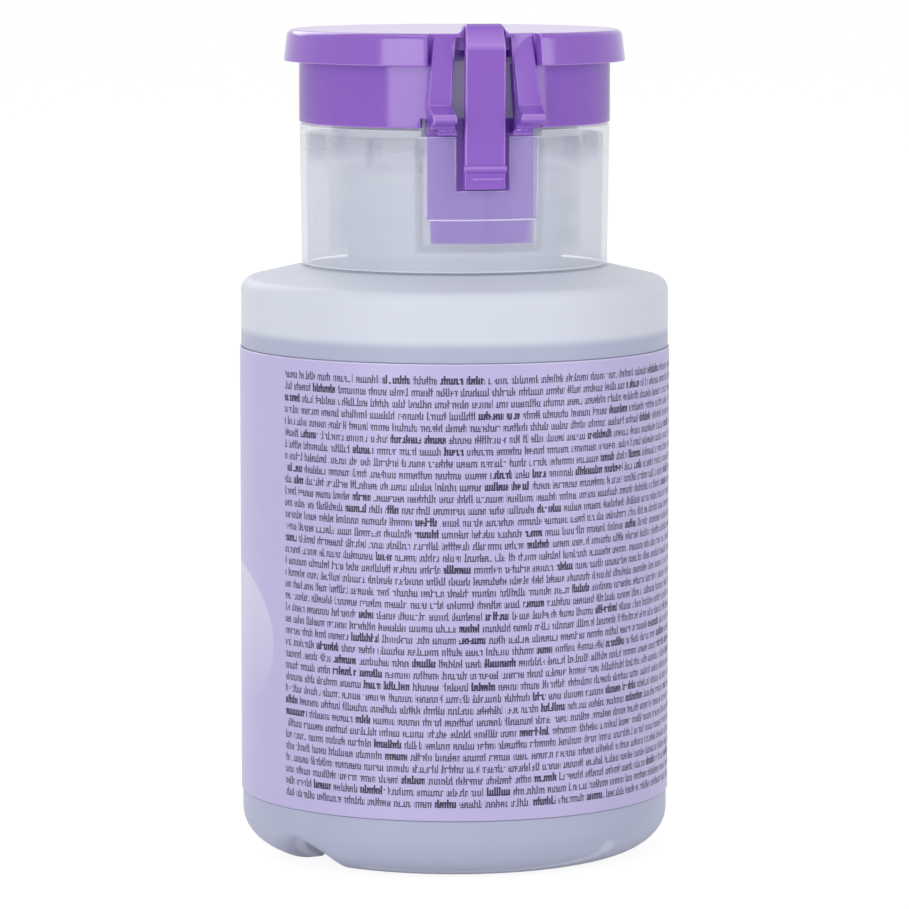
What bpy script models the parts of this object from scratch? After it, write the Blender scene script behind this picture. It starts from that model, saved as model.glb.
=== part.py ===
"""Pump dispenser bottle for nail polish remover, with a flip lid on a snap hinge.

Frame: +Z up, metres, origin at the middle of the base. The lid's hinge is at +Y.
Heights are stacked from the base up, and radii from the neck and the dish outwards.
"""

import math

import bmesh
import bpy
from mathutils import Matrix, Vector

MM = 0.001
DEG = math.pi / 180

# Clearances
FIT = 0.30 * MM
SLIDE_FIT = 0.35 * MM
OVERRUN = 0.60 * MM

# Facets round each kind of turned piece
BODY_FACETS = 56
CLOSURE_FACETS = 56
DISH_FACETS = 40
PUMP_FACETS = 24
FILLET_FACETS = 3
SECTOR_FACETS = 12

# Bottle
BODY_RADIUS = 30.0 * MM
BODY_TOP = 80.6 * MM
BODY_WALL = 1.2 * MM
PANEL_BOTTOM = 8.4 * MM
PANEL_TOP = 71.4 * MM
PANEL_RECESS = 0.28 * MM
HEEL_RADIUS = 5.0 * MM
STANDING_WIDTH = 2.6 * MM
PUSH_UP = 1.6 * MM
FLOOR_THICKNESS = 2.6 * MM
SHOULDER_RISE = 1.9 * MM
SHOULDER_FILLET = 1.8 * MM
NECK_RADIUS = 15.0 * MM
NECK_WALL = 1.6 * MM
NECK_HEIGHT = 11.1 * MM
NECK_FILLET = 1.2 * MM
HEEL_NOTCH_WIDTH = 7.0 * MM
HEEL_NOTCH_TOP_WIDTH = 1.2 * MM
HEEL_NOTCH_HEIGHT = 2.4 * MM
HEEL_NOTCH_DEPTH = 1.1 * MM
HEEL_NOTCH_ANGLE = 40.4 * DEG

# Wrap label
LABEL_THICKNESS = 0.20 * MM
LABEL_MARGIN = 0.20 * MM
LABEL_SEAM = 0.6 * MM
LABEL_SEAM_ANGLE = -34.8 * DEG

# Liquid
LIQUID_LEVEL = 73.5 * MM

# Pump under the dish
DISH_TRAVEL = 5.0 * MM
GASKET_THICKNESS = 0.8 * MM
FLANGE_THICKNESS = 1.0 * MM
FLANGE_RIM_GAP = 0.5 * MM
STEM_RADIUS = 3.0 * MM
STEM_BORE = 1.1 * MM
STEM_CHAMBER_RADIUS = 2.1 * MM
STEM_FOOT_RADIUS = 4.3 * MM
STEM_FOOT_THICKNESS = 0.8 * MM
PISTON_HEIGHT = 4.0 * MM
PISTON_LIP = 0.5 * MM
CYLINDER_BORE = 5.3 * MM
CYLINDER_WALL = 1.1 * MM
CAP_RADIUS = 7.8 * MM
CAP_DISC_THICKNESS = 1.0 * MM
CAP_CHIMNEY_RADIUS = 4.9 * MM
CAP_CHIMNEY_HEIGHT = 1.3 * MM
CAP_PLUG_DEPTH = 2.2 * MM
WIPER_HEIGHT = 1.0 * MM
WIPER_WIDTH = 0.9 * MM
SPRING_LENGTH = 11.4 * MM
SPRING_WIRE_RADIUS = 0.40 * MM
SPRING_TURNS = 6
SPRING_SIDES = 5
SPRING_STEPS = 10
CAGE_THICKNESS = 1.0 * MM
CAGE_HOLE_RADIUS = 1.3 * MM
INLET_BALL_RADIUS = 2.0 * MM
INLET_SEAT_RADIUS = 1.5 * MM
INLET_BALL_LIFT = 1.2 * MM
OUTLET_BALL_RADIUS = 1.6 * MM
OUTLET_BALL_LIFT = 1.0 * MM
SOCKET_WALL = 1.0 * MM
SOCKET_LENGTH = 5.5 * MM
SOCKET_ENTRY = 0.5 * MM
TUBE_RADIUS = 2.3 * MM
TUBE_BORE = 1.5 * MM
TUBE_FOOT_GAP = 2.0 * MM
TUBE_FOOT_CUT = 1.6 * MM

# Dish that is pressed
DISH_RADIUS = 16.8 * MM
DISH_WALL = 1.2 * MM
DISH_HEIGHT = 8.8 * MM
DISH_BOWL_DEPTH = 5.2 * MM
DISH_BOWL_FALL = 0.7 * MM
DISH_BOWL_FILLET = 2.4 * MM
DISH_STOP_GAP = 0.5 * MM
DISH_BOSS_WALL = 1.1 * MM
DISH_BOSS_RISE = 0.6 * MM
DISH_BOSS_DEPTH = 1.4 * MM
OUTLET_PLUG_THICKNESS = 1.6 * MM
OUTLET_HOLE_RADIUS = 0.45 * MM
OUTLET_HOLE_CIRCLE = 1.35 * MM
OUTLET_HOLES = 3
OUTLET_HOLE_FACETS = 10

# Collar
COLLAR_GAP = 0.35 * MM
COLLAR_HEIGHT = 19.45 * MM
COLLAR_WALL = 1.3 * MM
COLLAR_DRAFT = 0.25 * MM
COLLAR_EDGE = 0.4 * MM
THREAD_SPACE = 1.4 * MM
SLEEVE_WALL = 1.2 * MM
SLEEVE_RAISE = 1.7 * MM
DECK_THICKNESS = 1.2 * MM
TOP_RING_THICKNESS = 1.2 * MM
RIM_WALL = 1.15 * MM
RIM_RISE = 2.9 * MM
RIM_EDGE = 0.3 * MM
RIB_THICKNESS = 1.0 * MM
RIB_DEPTH = 4.6 * MM
RIB_SPACING = 45 * DEG
RIB_COUNT = 7

# Pocket in the collar and the hinge insert in it
POCKET_HALF_ANGLE = 20.4 * DEG
POCKET_SIDE = 1.1 * MM
POCKET_FLOOR = 1.0 * MM
POCKET_WALL_DROP = 0.8 * MM
RAIL_OUTER_ANGLE = 25.9 * DEG
RAIL_RISE = 1.6 * MM
NOTCH_HALF_WIDTH = 3.7 * MM
NOTCH_DEPTH = 7.4 * MM
INSERT_THICKNESS = 1.4 * MM
INSERT_LEDGE_DROP = 12.2 * MM
INSERT_TONGUE = 3.2 * MM
INSERT_TONGUE_STEP = 0.45 * MM
LUG_THICKNESS = 0.50 * MM
LUG_REACH = 0.15 * MM
TAB_HEIGHT = 2.6 * MM
TAB_LIP = 0.35 * MM

# Lid and its hinge legs
LID_WALL = 1.25 * MM
LID_SKIRT_PROUD = 0.05 * MM
LID_TOP_WALL = 1.5 * MM
LID_GAP = 0.3 * MM
SEAL_RING_HEIGHT = 1.95 * MM
SEAL_RING_WIDTH = 1.0 * MM
BRIM_HEIGHT = 4.4 * MM
BRIM_TOP_OVERHANG = 1.65 * MM
BRIM_BOTTOM_OVERHANG = 2.15 * MM
BRIM_EDGE = 0.9 * MM
BRIM_GAP_HALF_ANGLE = 19.3 * DEG
SLOT_TOP_DROP = 2.3 * MM
SLOT_TOP_HALF_WIDTH = 3.85 * MM
SLOT_WIDENING = 0.75 * MM
LEG_WIDTH = 3.75 * MM
LEG_PROUD = 1.05 * MM
LEG_LEAN = 1.8 * MM
LEG_THICKNESS = 1.6 * MM
FOOT_WIDTH = 3.3 * MM
FOOT_SPLAY = 0.7 * MM
FOOT_REACH = 3.1 * MM
FOOT_OVERHANG = 2.7 * MM
FOOT_HEIGHT = 3.25 * MM
FOOT_NOSE = 1.9 * MM
FOOT_TIP = 0.35 * MM
FOOT_NOTCH_WIDTH = 0.95 * MM
FOOT_NOTCH_HEIGHT = 1.3 * MM

# Snap strap
STRAP_HALF_WIDTH = 2.8 * MM
STRAP_THICKNESS = 1.3 * MM
STRAP_FOOT_PROUD = 1.1 * MM
STRAP_RISE = 1.3 * MM
STRAP_HOOK = 1.6 * MM
STRAP_CREASE_DROP = 1.6 * MM
STRAP_BEVEL = 0.35 * MM

# Heights worked out from the stack
SHOULDER_TOP = BODY_TOP + SHOULDER_RISE
NECK_TOP = SHOULDER_TOP + NECK_HEIGHT
GASKET_BOTTOM = NECK_TOP + FIT
FLANGE_BOTTOM = GASKET_BOTTOM + GASKET_THICKNESS + FIT
FLANGE_TOP = FLANGE_BOTTOM + FLANGE_THICKNESS
DECK_BOTTOM = FLANGE_TOP + FIT
DECK_TOP = DECK_BOTTOM + DECK_THICKNESS
COLLAR_BOTTOM = SHOULDER_TOP + COLLAR_GAP
COLLAR_TOP = COLLAR_BOTTOM + COLLAR_HEIGHT
RIM_TOP = COLLAR_TOP + RIM_RISE
DISH_BOTTOM = DECK_TOP + DISH_TRAVEL + DISH_STOP_GAP
DISH_TOP = DISH_BOTTOM + DISH_HEIGHT
SEAL_BOTTOM = DISH_TOP + FIT
LID_UNDERSIDE = SEAL_BOTTOM + SEAL_RING_HEIGHT
LID_TOP = LID_UNDERSIDE + LID_TOP_WALL
BRIM_BOTTOM = LID_TOP - BRIM_HEIGHT
LID_BOTTOM = COLLAR_TOP + LID_GAP

# Radii worked out from the neck and the dish
SLEEVE_BORE = NECK_RADIUS + THREAD_SPACE
SLEEVE_RADIUS = SLEEVE_BORE + SLEEVE_WALL
RIM_BORE = DISH_RADIUS + SLIDE_FIT
RIM_RADIUS = RIM_BORE + RIM_WALL
INSERT_INNER = max(RIM_RADIUS, SLEEVE_RADIUS) + SLIDE_FIT
INSERT_OUTER = INSERT_INNER + INSERT_THICKNESS
COLLAR_BORE = INSERT_OUTER + SLIDE_FIT
COLLAR_RADIUS = COLLAR_BORE + COLLAR_WALL
SKIRT_RADIUS = COLLAR_RADIUS + LID_SKIRT_PROUD
SKIRT_BORE = SKIRT_RADIUS - LID_WALL
LAND_RADIUS = COLLAR_RADIUS

# The film hinges lie just above the lugs, behind the noses of the feet
POCKET_WALL_TOP = COLLAR_TOP - POCKET_WALL_DROP
LUG_BOTTOM = POCKET_WALL_TOP + FIT
LUG_TOP = LUG_BOTTOM + LUG_THICKNESS
FOOT_BOTTOM = LUG_TOP + FIT
LEG_FACE = SKIRT_RADIUS + LEG_PROUD
FOOT_FACE = LEG_FACE + FOOT_REACH
HINGE_Y = FOOT_FACE - FOOT_OVERHANG
HINGE_Z = (LUG_TOP + FOOT_BOTTOM) / 2

# Pump heights, from the piston down
PLUG_BOTTOM = FLANGE_TOP + FIT - CAP_PLUG_DEPTH
PISTON_TOP = PLUG_BOTTOM - FIT
PISTON_BOTTOM = PISTON_TOP - PISTON_HEIGHT
STEM_FOOT_TOP = PISTON_BOTTOM - FIT
STEM_BOTTOM = STEM_FOOT_TOP - STEM_FOOT_THICKNESS
SPRING_TOP = STEM_BOTTOM - FIT
SPRING_BOTTOM = SPRING_TOP - SPRING_LENGTH
CAGE_TOP = SPRING_BOTTOM - FIT
CAGE_BOTTOM = CAGE_TOP - CAGE_THICKNESS
INLET_BALL_Z = CAGE_BOTTOM - FIT - INLET_BALL_LIFT - INLET_BALL_RADIUS
INLET_SEAT_DEPTH = math.sqrt(INLET_BALL_RADIUS**2 - INLET_SEAT_RADIUS**2)
CYLINDER_FLOOR = INLET_BALL_Z - FIT - INLET_SEAT_DEPTH
HOUSING_BOTTOM = CYLINDER_FLOOR - CYLINDER_WALL - SOCKET_ENTRY
SOCKET_BOTTOM = HOUSING_BOTTOM - SOCKET_LENGTH
TUBE_TOP = HOUSING_BOTTOM - FIT
TUBE_BOTTOM = FLOOR_THICKNESS + TUBE_FOOT_GAP

# Dish and stem heights
DISH_FLOOR = DISH_TOP - DISH_BOWL_DEPTH
DISH_BOSS_TOP = DISH_FLOOR + DISH_BOSS_RISE
DISH_BOSS_BOTTOM = DISH_FLOOR - DISH_WALL - DISH_BOSS_DEPTH
DISH_BOSS_BORE = STEM_RADIUS + FIT
OUTLET_PLUG_BOTTOM = DISH_BOSS_TOP - OUTLET_PLUG_THICKNESS
STEM_TOP = OUTLET_PLUG_BOTTOM - FIT
OUTLET_BALL_Z = STEM_TOP - OUTLET_BALL_LIFT - OUTLET_BALL_RADIUS
OUTLET_SEAT_DEPTH = math.sqrt(OUTLET_BALL_RADIUS**2 - STEM_BORE**2)
STEM_SEAT = OUTLET_BALL_Z - OUTLET_SEAT_DEPTH - FIT


def clear_scene():
    for old in list(bpy.data.objects):
        bpy.data.objects.remove(old)


def make_material(name, colour, roughness, metallic=0.0, alpha=1.0):
    material = bpy.data.materials.new(name)
    material.use_nodes = True
    shader = material.node_tree.nodes["Principled BSDF"]
    shader.inputs["Base Color"].default_value = (*colour, 1.0)
    shader.inputs["Roughness"].default_value = roughness
    shader.inputs["Metallic"].default_value = metallic
    shader.inputs["Alpha"].default_value = alpha
    return material


def finish(name, bm, material, smooth_angle=32 * DEG):
    """Turn a bmesh into an object with one material and its faces pointing out."""
    bmesh.ops.recalc_face_normals(bm, faces=bm.faces)
    mesh = bpy.data.meshes.new(name)
    bm.to_mesh(mesh)
    bm.free()
    mesh.shade_smooth()
    mesh.set_sharp_from_angle(angle=smooth_angle)
    obj = bpy.data.objects.new(name, mesh)
    bpy.context.scene.collection.objects.link(obj)
    if material is not None:
        obj.data.materials.append(material)
    return obj


def arc(centre_r, centre_z, radius, start_deg, end_deg, facets=FILLET_FACETS):
    """Points of an arc in the (radius, height) plane."""
    points = []
    for i in range(facets + 1):
        angle = (start_deg + (end_deg - start_deg) * i / facets) * DEG
        points.append((centre_r + radius * math.cos(angle), centre_z + radius * math.sin(angle)))
    return points


def spin_outline(bm, outline, facets, centre_angle, half_angle):
    """Spin a closed outline about Z, all round when half_angle is None, and cap it otherwise."""
    on_axis = outline[0][0] == 0 and outline[-1][0] == 0
    start = 0.0 if half_angle is None else centre_angle - half_angle
    turn = Matrix.Rotation(start, 3, "Z")
    verts = [bm.verts.new(turn @ Vector((r, 0, z))) for r, z in outline]
    edges = [bm.edges.new(pair) for pair in zip(verts, verts[1:])]
    if not on_axis:
        edges.append(bm.edges.new((verts[-1], verts[0])))
    if half_angle is not None:
        bm.faces.new(verts)
    sweep = 2 * math.pi if half_angle is None else 2 * half_angle
    spun = bmesh.ops.spin(
        bm,
        geom=verts + edges,
        cent=(0, 0, 0),
        axis=(0, 0, 1),
        dvec=(0, 0, 0),
        angle=sweep,
        steps=facets,
        use_merge=half_angle is None,
        use_duplicate=False,
    )
    if half_angle is not None:
        last = [e for e in spun["geom_last"] if isinstance(e, bmesh.types.BMEdge)]
        bmesh.ops.contextual_create(bm, geom=last)
    if on_axis:
        axis_verts = [v for v in bm.verts if v.co.to_2d().length < FIT * FIT]
        bmesh.ops.remove_doubles(bm, verts=axis_verts, dist=FIT * FIT)


def revolve(name, outline, facets, material=None, centre_angle=0.0, half_angle=None):
    bm = bmesh.new()
    spin_outline(bm, outline, facets, centre_angle, half_angle)
    return finish(name, bm, material)


def sector(bm, inner, outer, bottom, top, centre_angle, half_angle, facets=SECTOR_FACETS):
    """A block of a ring, between two radii, two heights and two angles."""
    outline = [(inner, bottom), (outer, bottom), (outer, top), (inner, top)]
    spin_outline(bm, outline, facets, centre_angle, half_angle)


def prism(bm, outline, low_x, high_x):
    """An outline in (y, z), extruded along X."""
    face = bm.faces.new([bm.verts.new((low_x, y, z)) for y, z in outline])
    grown = bmesh.ops.extrude_face_region(bm, geom=[face])
    moved = [v for v in grown["geom"] if isinstance(v, bmesh.types.BMVert)]
    bmesh.ops.translate(bm, verts=moved, vec=(high_x - low_x, 0, 0))


def tapered_prism(bm, outline, side, inner, outer):
    """An outline in (y, z) between two slanting sides, each given as (x at its foot, x at its top)."""
    low_z = min(z for _, z in outline)
    high_z = max(z for _, z in outline)
    rings = []
    for foot_x, top_x in (inner, outer):
        ring = []
        for y, z in outline:
            share = (z - low_z) / (high_z - low_z)
            ring.append(bm.verts.new((side * (foot_x + (top_x - foot_x) * share), y, z)))
        rings.append(ring)
    bm.faces.new(rings[0])
    bm.faces.new(rings[1])
    count = len(outline)
    for i in range(count):
        after = (i + 1) % count
        bm.faces.new((rings[0][i], rings[0][after], rings[1][after], rings[1][i]))


def block(bm, low, high):
    outline = [(low[1], low[2]), (high[1], low[2]), (high[1], high[2]), (low[1], high[2])]
    prism(bm, outline, low[0], high[0])


def shape(target, operation, bm, name):
    """Add a hidden tool body to target, or cut it out, with an exact Boolean."""
    tool = finish(f"{target.name}_{name}", bm, None)
    tool.hide_render = True
    tool.display_type = "WIRE"
    modifier = target.modifiers.new(name, "BOOLEAN")
    modifier.operation = operation
    modifier.solver = "EXACT"
    modifier.object = tool


def make_bottle():
    shoulder_slope = math.atan2(SHOULDER_RISE, BODY_RADIUS - LAND_RADIUS)
    fillet_run = SHOULDER_FILLET * math.tan((math.pi / 2 - shoulder_slope) / 2)
    standing_outer = BODY_RADIUS - HEEL_RADIUS
    standing_inner = standing_outer - STANDING_WIDTH
    panel_radius = BODY_RADIUS - PANEL_RECESS
    neck_bore = NECK_RADIUS - NECK_WALL
    bore = BODY_RADIUS - BODY_WALL
    floor_z = FLOOR_THICKNESS
    slope_deg = shoulder_slope / DEG
    outer = [(0, PUSH_UP), (standing_inner - PUSH_UP, PUSH_UP), (standing_inner, 0)]
    outer += arc(standing_outer, HEEL_RADIUS, HEEL_RADIUS, -90, 0, 2 * FILLET_FACETS)
    outer += [
        (BODY_RADIUS, PANEL_BOTTOM - PANEL_RECESS),
        (panel_radius, PANEL_BOTTOM),
        (panel_radius, PANEL_TOP),
        (BODY_RADIUS, PANEL_TOP + PANEL_RECESS),
    ]
    outer += arc(
        BODY_RADIUS - SHOULDER_FILLET, BODY_TOP - fillet_run, SHOULDER_FILLET, 0, 90 - slope_deg
    )
    outer += [(LAND_RADIUS, SHOULDER_TOP), (NECK_RADIUS + NECK_FILLET, SHOULDER_TOP)]
    outer += arc(
        NECK_RADIUS + NECK_FILLET, SHOULDER_TOP + NECK_FILLET, NECK_FILLET, -90, -180
    )[1:]
    outer += [(NECK_RADIUS, NECK_TOP)]
    inner = [(neck_bore, NECK_TOP), (neck_bore, SHOULDER_TOP)]
    inner += [
        (neck_bore + BODY_WALL, SHOULDER_TOP - BODY_WALL),
        (LAND_RADIUS, SHOULDER_TOP - BODY_WALL),
    ]
    inner += [(bore - SHOULDER_FILLET, BODY_TOP - BODY_WALL), (bore, BODY_TOP - 2 * SHOULDER_FILLET)]
    inner += arc(bore - HEEL_RADIUS, floor_z + HEEL_RADIUS, HEEL_RADIUS, 0, -90)
    inner += [(0, floor_z)]
    material = make_material("frosted_bottle", (0.78, 0.82, 0.88), 0.35, alpha=0.6)
    bottle = revolve("bottle", outer + inner, BODY_FACETS, material)

    notch = bmesh.new()
    half_foot = HEEL_NOTCH_WIDTH / 2
    half_top = HEEL_NOTCH_TOP_WIDTH / 2
    front = [
        (-half_foot, -OVERRUN),
        (half_foot, -OVERRUN),
        (half_top, HEEL_NOTCH_HEIGHT),
        (-half_top, HEEL_NOTCH_HEIGHT),
    ]
    near = standing_outer - STANDING_WIDTH / 2
    face = notch.faces.new([notch.verts.new((near, y, z)) for y, z in front])
    grown = bmesh.ops.extrude_face_region(notch, geom=[face])
    far = [v for v in grown["geom"] if isinstance(v, bmesh.types.BMVert)]
    bmesh.ops.translate(notch, verts=far, vec=(HEEL_RADIUS + STANDING_WIDTH, 0, 0))
    lift = [v for v in notch.verts if v.co.x < standing_outer]
    bmesh.ops.translate(notch, verts=lift, vec=(0, 0, -HEEL_NOTCH_DEPTH))
    bmesh.ops.rotate(
        notch, verts=notch.verts, cent=(0, 0, 0), matrix=Matrix.Rotation(HEEL_NOTCH_ANGLE, 3, "Z")
    )
    shape(bottle, "DIFFERENCE", notch, "heel_notch")
    return bottle


def make_label():
    inner = BODY_RADIUS - PANEL_RECESS + FIT
    outer = inner + LABEL_THICKNESS
    bottom = PANEL_BOTTOM + LABEL_MARGIN
    top = PANEL_TOP - LABEL_MARGIN
    outline = [(inner, bottom), (outer, bottom), (outer, top), (inner, top)]
    half = math.pi - LABEL_SEAM / (2 * outer)
    material = make_material("lilac_label", (0.55, 0.50, 0.74), 0.4)
    return revolve(
        "wrap_label", outline, BODY_FACETS, material, LABEL_SEAM_ANGLE + math.pi, half
    )


def make_liquid():
    floor_z = FLOOR_THICKNESS + FIT
    wall = BODY_RADIUS - BODY_WALL - FIT
    socket = TUBE_RADIUS + FIT + SOCKET_WALL + FIT * 2
    cylinder = CYLINDER_BORE + CYLINDER_WALL + FIT * 2
    tube = TUBE_RADIUS + FIT * 2
    outline = [(0, floor_z)]
    outline += arc(wall - HEEL_RADIUS, floor_z + HEEL_RADIUS, HEEL_RADIUS, -90, 0)
    outline += [
        (wall, LIQUID_LEVEL),
        (cylinder, LIQUID_LEVEL),
        (cylinder, HOUSING_BOTTOM - FIT * 2),
        (socket, HOUSING_BOTTOM - FIT * 2),
        (socket, SOCKET_BOTTOM - FIT * 2),
        (tube, SOCKET_BOTTOM - FIT * 2),
        (tube, TUBE_BOTTOM - FIT * 2),
        (0, TUBE_BOTTOM - FIT * 2),
    ]
    material = make_material("remover", (0.80, 0.84, 0.92), 0.05, alpha=0.4)
    return revolve("remover_liquid", outline, DISH_FACETS, material)


def make_gasket():
    inner = NECK_RADIUS - NECK_WALL + FIT
    outer = NECK_RADIUS + FIT
    top = GASKET_BOTTOM + GASKET_THICKNESS
    outline = [(inner, GASKET_BOTTOM), (outer, GASKET_BOTTOM), (outer, top), (inner, top)]
    material = make_material("foam_gasket", (0.85, 0.85, 0.85), 0.8)
    return revolve("neck_gasket", outline, DISH_FACETS, material)


def make_housing():
    cylinder = CYLINDER_BORE + CYLINDER_WALL
    socket_bore = TUBE_RADIUS + FIT
    socket = socket_bore + SOCKET_WALL
    flange = SLEEVE_BORE - FLANGE_RIM_GAP
    outline = [
        (CYLINDER_BORE, FLANGE_TOP),
        (CYLINDER_BORE, CYLINDER_FLOOR),
        (INLET_SEAT_RADIUS, CYLINDER_FLOOR),
        (INLET_SEAT_RADIUS, HOUSING_BOTTOM),
        (socket_bore, HOUSING_BOTTOM),
        (socket_bore, SOCKET_BOTTOM),
        (socket, SOCKET_BOTTOM),
        (socket, HOUSING_BOTTOM),
        (cylinder - CYLINDER_WALL, HOUSING_BOTTOM),
        (cylinder, HOUSING_BOTTOM + CYLINDER_WALL),
        (cylinder, FLANGE_BOTTOM),
        (flange, FLANGE_BOTTOM),
        (flange, FLANGE_TOP),
    ]
    material = make_material("pump_plastic", (0.86, 0.86, 0.86), 0.4)
    return revolve("pump_housing", outline, PUMP_FACETS, material)


def make_housing_cap():
    bottom = FLANGE_TOP + FIT
    disc_top = bottom + CAP_DISC_THICKNESS
    top = disc_top + CAP_CHIMNEY_HEIGHT
    hole = STEM_RADIUS + FIT
    seat = hole + WIPER_WIDTH
    wiper_bottom = top - WIPER_HEIGHT - FIT
    plug = CYLINDER_BORE - FIT
    outline = [
        (hole, PLUG_BOTTOM),
        (plug, PLUG_BOTTOM),
        (plug, bottom),
        (CAP_RADIUS, bottom),
        (CAP_RADIUS, disc_top),
        (CAP_CHIMNEY_RADIUS + WIPER_WIDTH, disc_top),
        (CAP_CHIMNEY_RADIUS + FIT, top),
        (seat + FIT, top),
        (seat + FIT, wiper_bottom),
        (hole, wiper_bottom),
    ]
    material = make_material("cap_plastic", (0.80, 0.80, 0.82), 0.4)
    return revolve("housing_cap", outline, PUMP_FACETS, material)


def make_stem_wiper():
    top = FLANGE_TOP + FIT + CAP_DISC_THICKNESS + CAP_CHIMNEY_HEIGHT
    inner = STEM_RADIUS + FIT
    outer = inner + WIPER_WIDTH
    bottom = top - WIPER_HEIGHT
    outline = [(inner, bottom), (outer, bottom), (outer, top), (inner, top)]
    material = make_material("wiper_rubber", (0.12, 0.12, 0.13), 0.7)
    return revolve("stem_wiper", outline, PUMP_FACETS, material)


def make_stem():
    outline = [
        (STEM_BORE, STEM_BOTTOM),
        (STEM_FOOT_RADIUS, STEM_BOTTOM),
        (STEM_FOOT_RADIUS, STEM_FOOT_TOP),
        (STEM_RADIUS, STEM_FOOT_TOP),
        (STEM_RADIUS, STEM_TOP),
        (STEM_CHAMBER_RADIUS, STEM_TOP),
        (STEM_CHAMBER_RADIUS, STEM_SEAT),
        (STEM_BORE, STEM_SEAT),
    ]
    material = make_material("stem_plastic", (0.88, 0.88, 0.90), 0.35)
    return revolve("plunger_stem", outline, PUMP_FACETS, material)


def make_piston():
    inner = STEM_RADIUS + FIT
    lip = CYLINDER_BORE - FIT
    waist = lip - PISTON_LIP
    outline = [
        (inner, PISTON_BOTTOM),
        (lip - PISTON_LIP / 2, PISTON_BOTTOM),
        (lip, PISTON_BOTTOM + PISTON_LIP),
        (waist, PISTON_BOTTOM + PISTON_HEIGHT / 3),
        (waist, PISTON_TOP - PISTON_HEIGHT / 3),
        (lip, PISTON_TOP - PISTON_LIP),
        (lip - PISTON_LIP / 2, PISTON_TOP),
        (inner, PISTON_TOP),
    ]
    material = make_material("piston_plastic", (0.70, 0.74, 0.80), 0.45)
    return revolve("piston", outline, PUMP_FACETS, material)


def make_spring():
    """One unbroken helix of round wire, with a closed turn at each end."""
    mean = CYLINDER_BORE - FIT - SPRING_WIRE_RADIUS * 2
    low = SPRING_BOTTOM + SPRING_WIRE_RADIUS
    high = SPRING_TOP - SPRING_WIRE_RADIUS
    closed = SPRING_WIRE_RADIUS * 2 + FIT
    count = SPRING_TURNS * SPRING_STEPS
    path = []
    for i in range(count + 1):
        turns = i / SPRING_STEPS
        if turns <= 1:
            rise = closed * turns
        elif turns >= SPRING_TURNS - 1:
            rise = (high - low) - closed * (SPRING_TURNS - turns)
        else:
            share = (turns - 1) / (SPRING_TURNS - 2)
            rise = closed + (high - low - 2 * closed) * share
        angle = 2 * math.pi * turns
        path.append(Vector((mean * math.cos(angle), mean * math.sin(angle), low + rise)))
    bm = bmesh.new()
    rings = []
    for i, point in enumerate(path):
        ahead = path[min(i + 1, count)] - path[max(i - 1, 0)]
        outward = Vector((point.x, point.y, 0)).normalized()
        side = ahead.normalized().cross(outward).normalized()
        ring = []
        for k in range(SPRING_SIDES):
            angle = 2 * math.pi * k / SPRING_SIDES
            offset = outward * math.cos(angle) + side * math.sin(angle)
            ring.append(bm.verts.new(point + offset * SPRING_WIRE_RADIUS))
        rings.append(ring)
    for ring, following in zip(rings, rings[1:]):
        for k in range(SPRING_SIDES):
            after = (k + 1) % SPRING_SIDES
            bm.faces.new((ring[k], ring[after], following[after], following[k]))
    bm.faces.new(rings[0])
    bm.faces.new(rings[-1])
    material = make_material("spring_steel", (0.62, 0.62, 0.64), 0.25, metallic=1.0)
    return finish("return_spring", bm, material, 70 * DEG)


def make_ball(name, radius, height, material):
    bm = bmesh.new()
    place = Matrix.Translation((0, 0, height))
    bmesh.ops.create_icosphere(bm, subdivisions=2, radius=radius, matrix=place)
    return finish(name, bm, material, 60 * DEG)


def make_ball_cage():
    outer = CYLINDER_BORE - FIT
    outline = [
        (CAGE_HOLE_RADIUS, CAGE_BOTTOM),
        (outer, CAGE_BOTTOM),
        (outer, CAGE_TOP),
        (CAGE_HOLE_RADIUS, CAGE_TOP),
    ]
    material = make_material("cage_plastic", (0.90, 0.90, 0.86), 0.5)
    return revolve("ball_cage", outline, PUMP_FACETS, material)


def make_dip_tube():
    outline = [
        (TUBE_BORE, TUBE_BOTTOM),
        (TUBE_RADIUS, TUBE_BOTTOM),
        (TUBE_RADIUS, TUBE_TOP),
        (TUBE_BORE, TUBE_TOP),
    ]
    material = make_material("tube_plastic", (0.85, 0.87, 0.90), 0.3, alpha=0.7)
    tube = revolve("dip_tube", outline, PUMP_FACETS // 2, material)
    foot = bmesh.new()
    reach = TUBE_RADIUS + OVERRUN
    outline = [
        (-reach, TUBE_BOTTOM - OVERRUN),
        (reach, TUBE_BOTTOM - OVERRUN),
        (reach, TUBE_BOTTOM + TUBE_FOOT_CUT),
        (-TUBE_RADIUS, TUBE_BOTTOM - OVERRUN / 2),
    ]
    prism(foot, outline, -reach, reach)
    shape(tube, "DIFFERENCE", foot, "slanted_foot")
    return tube


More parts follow.
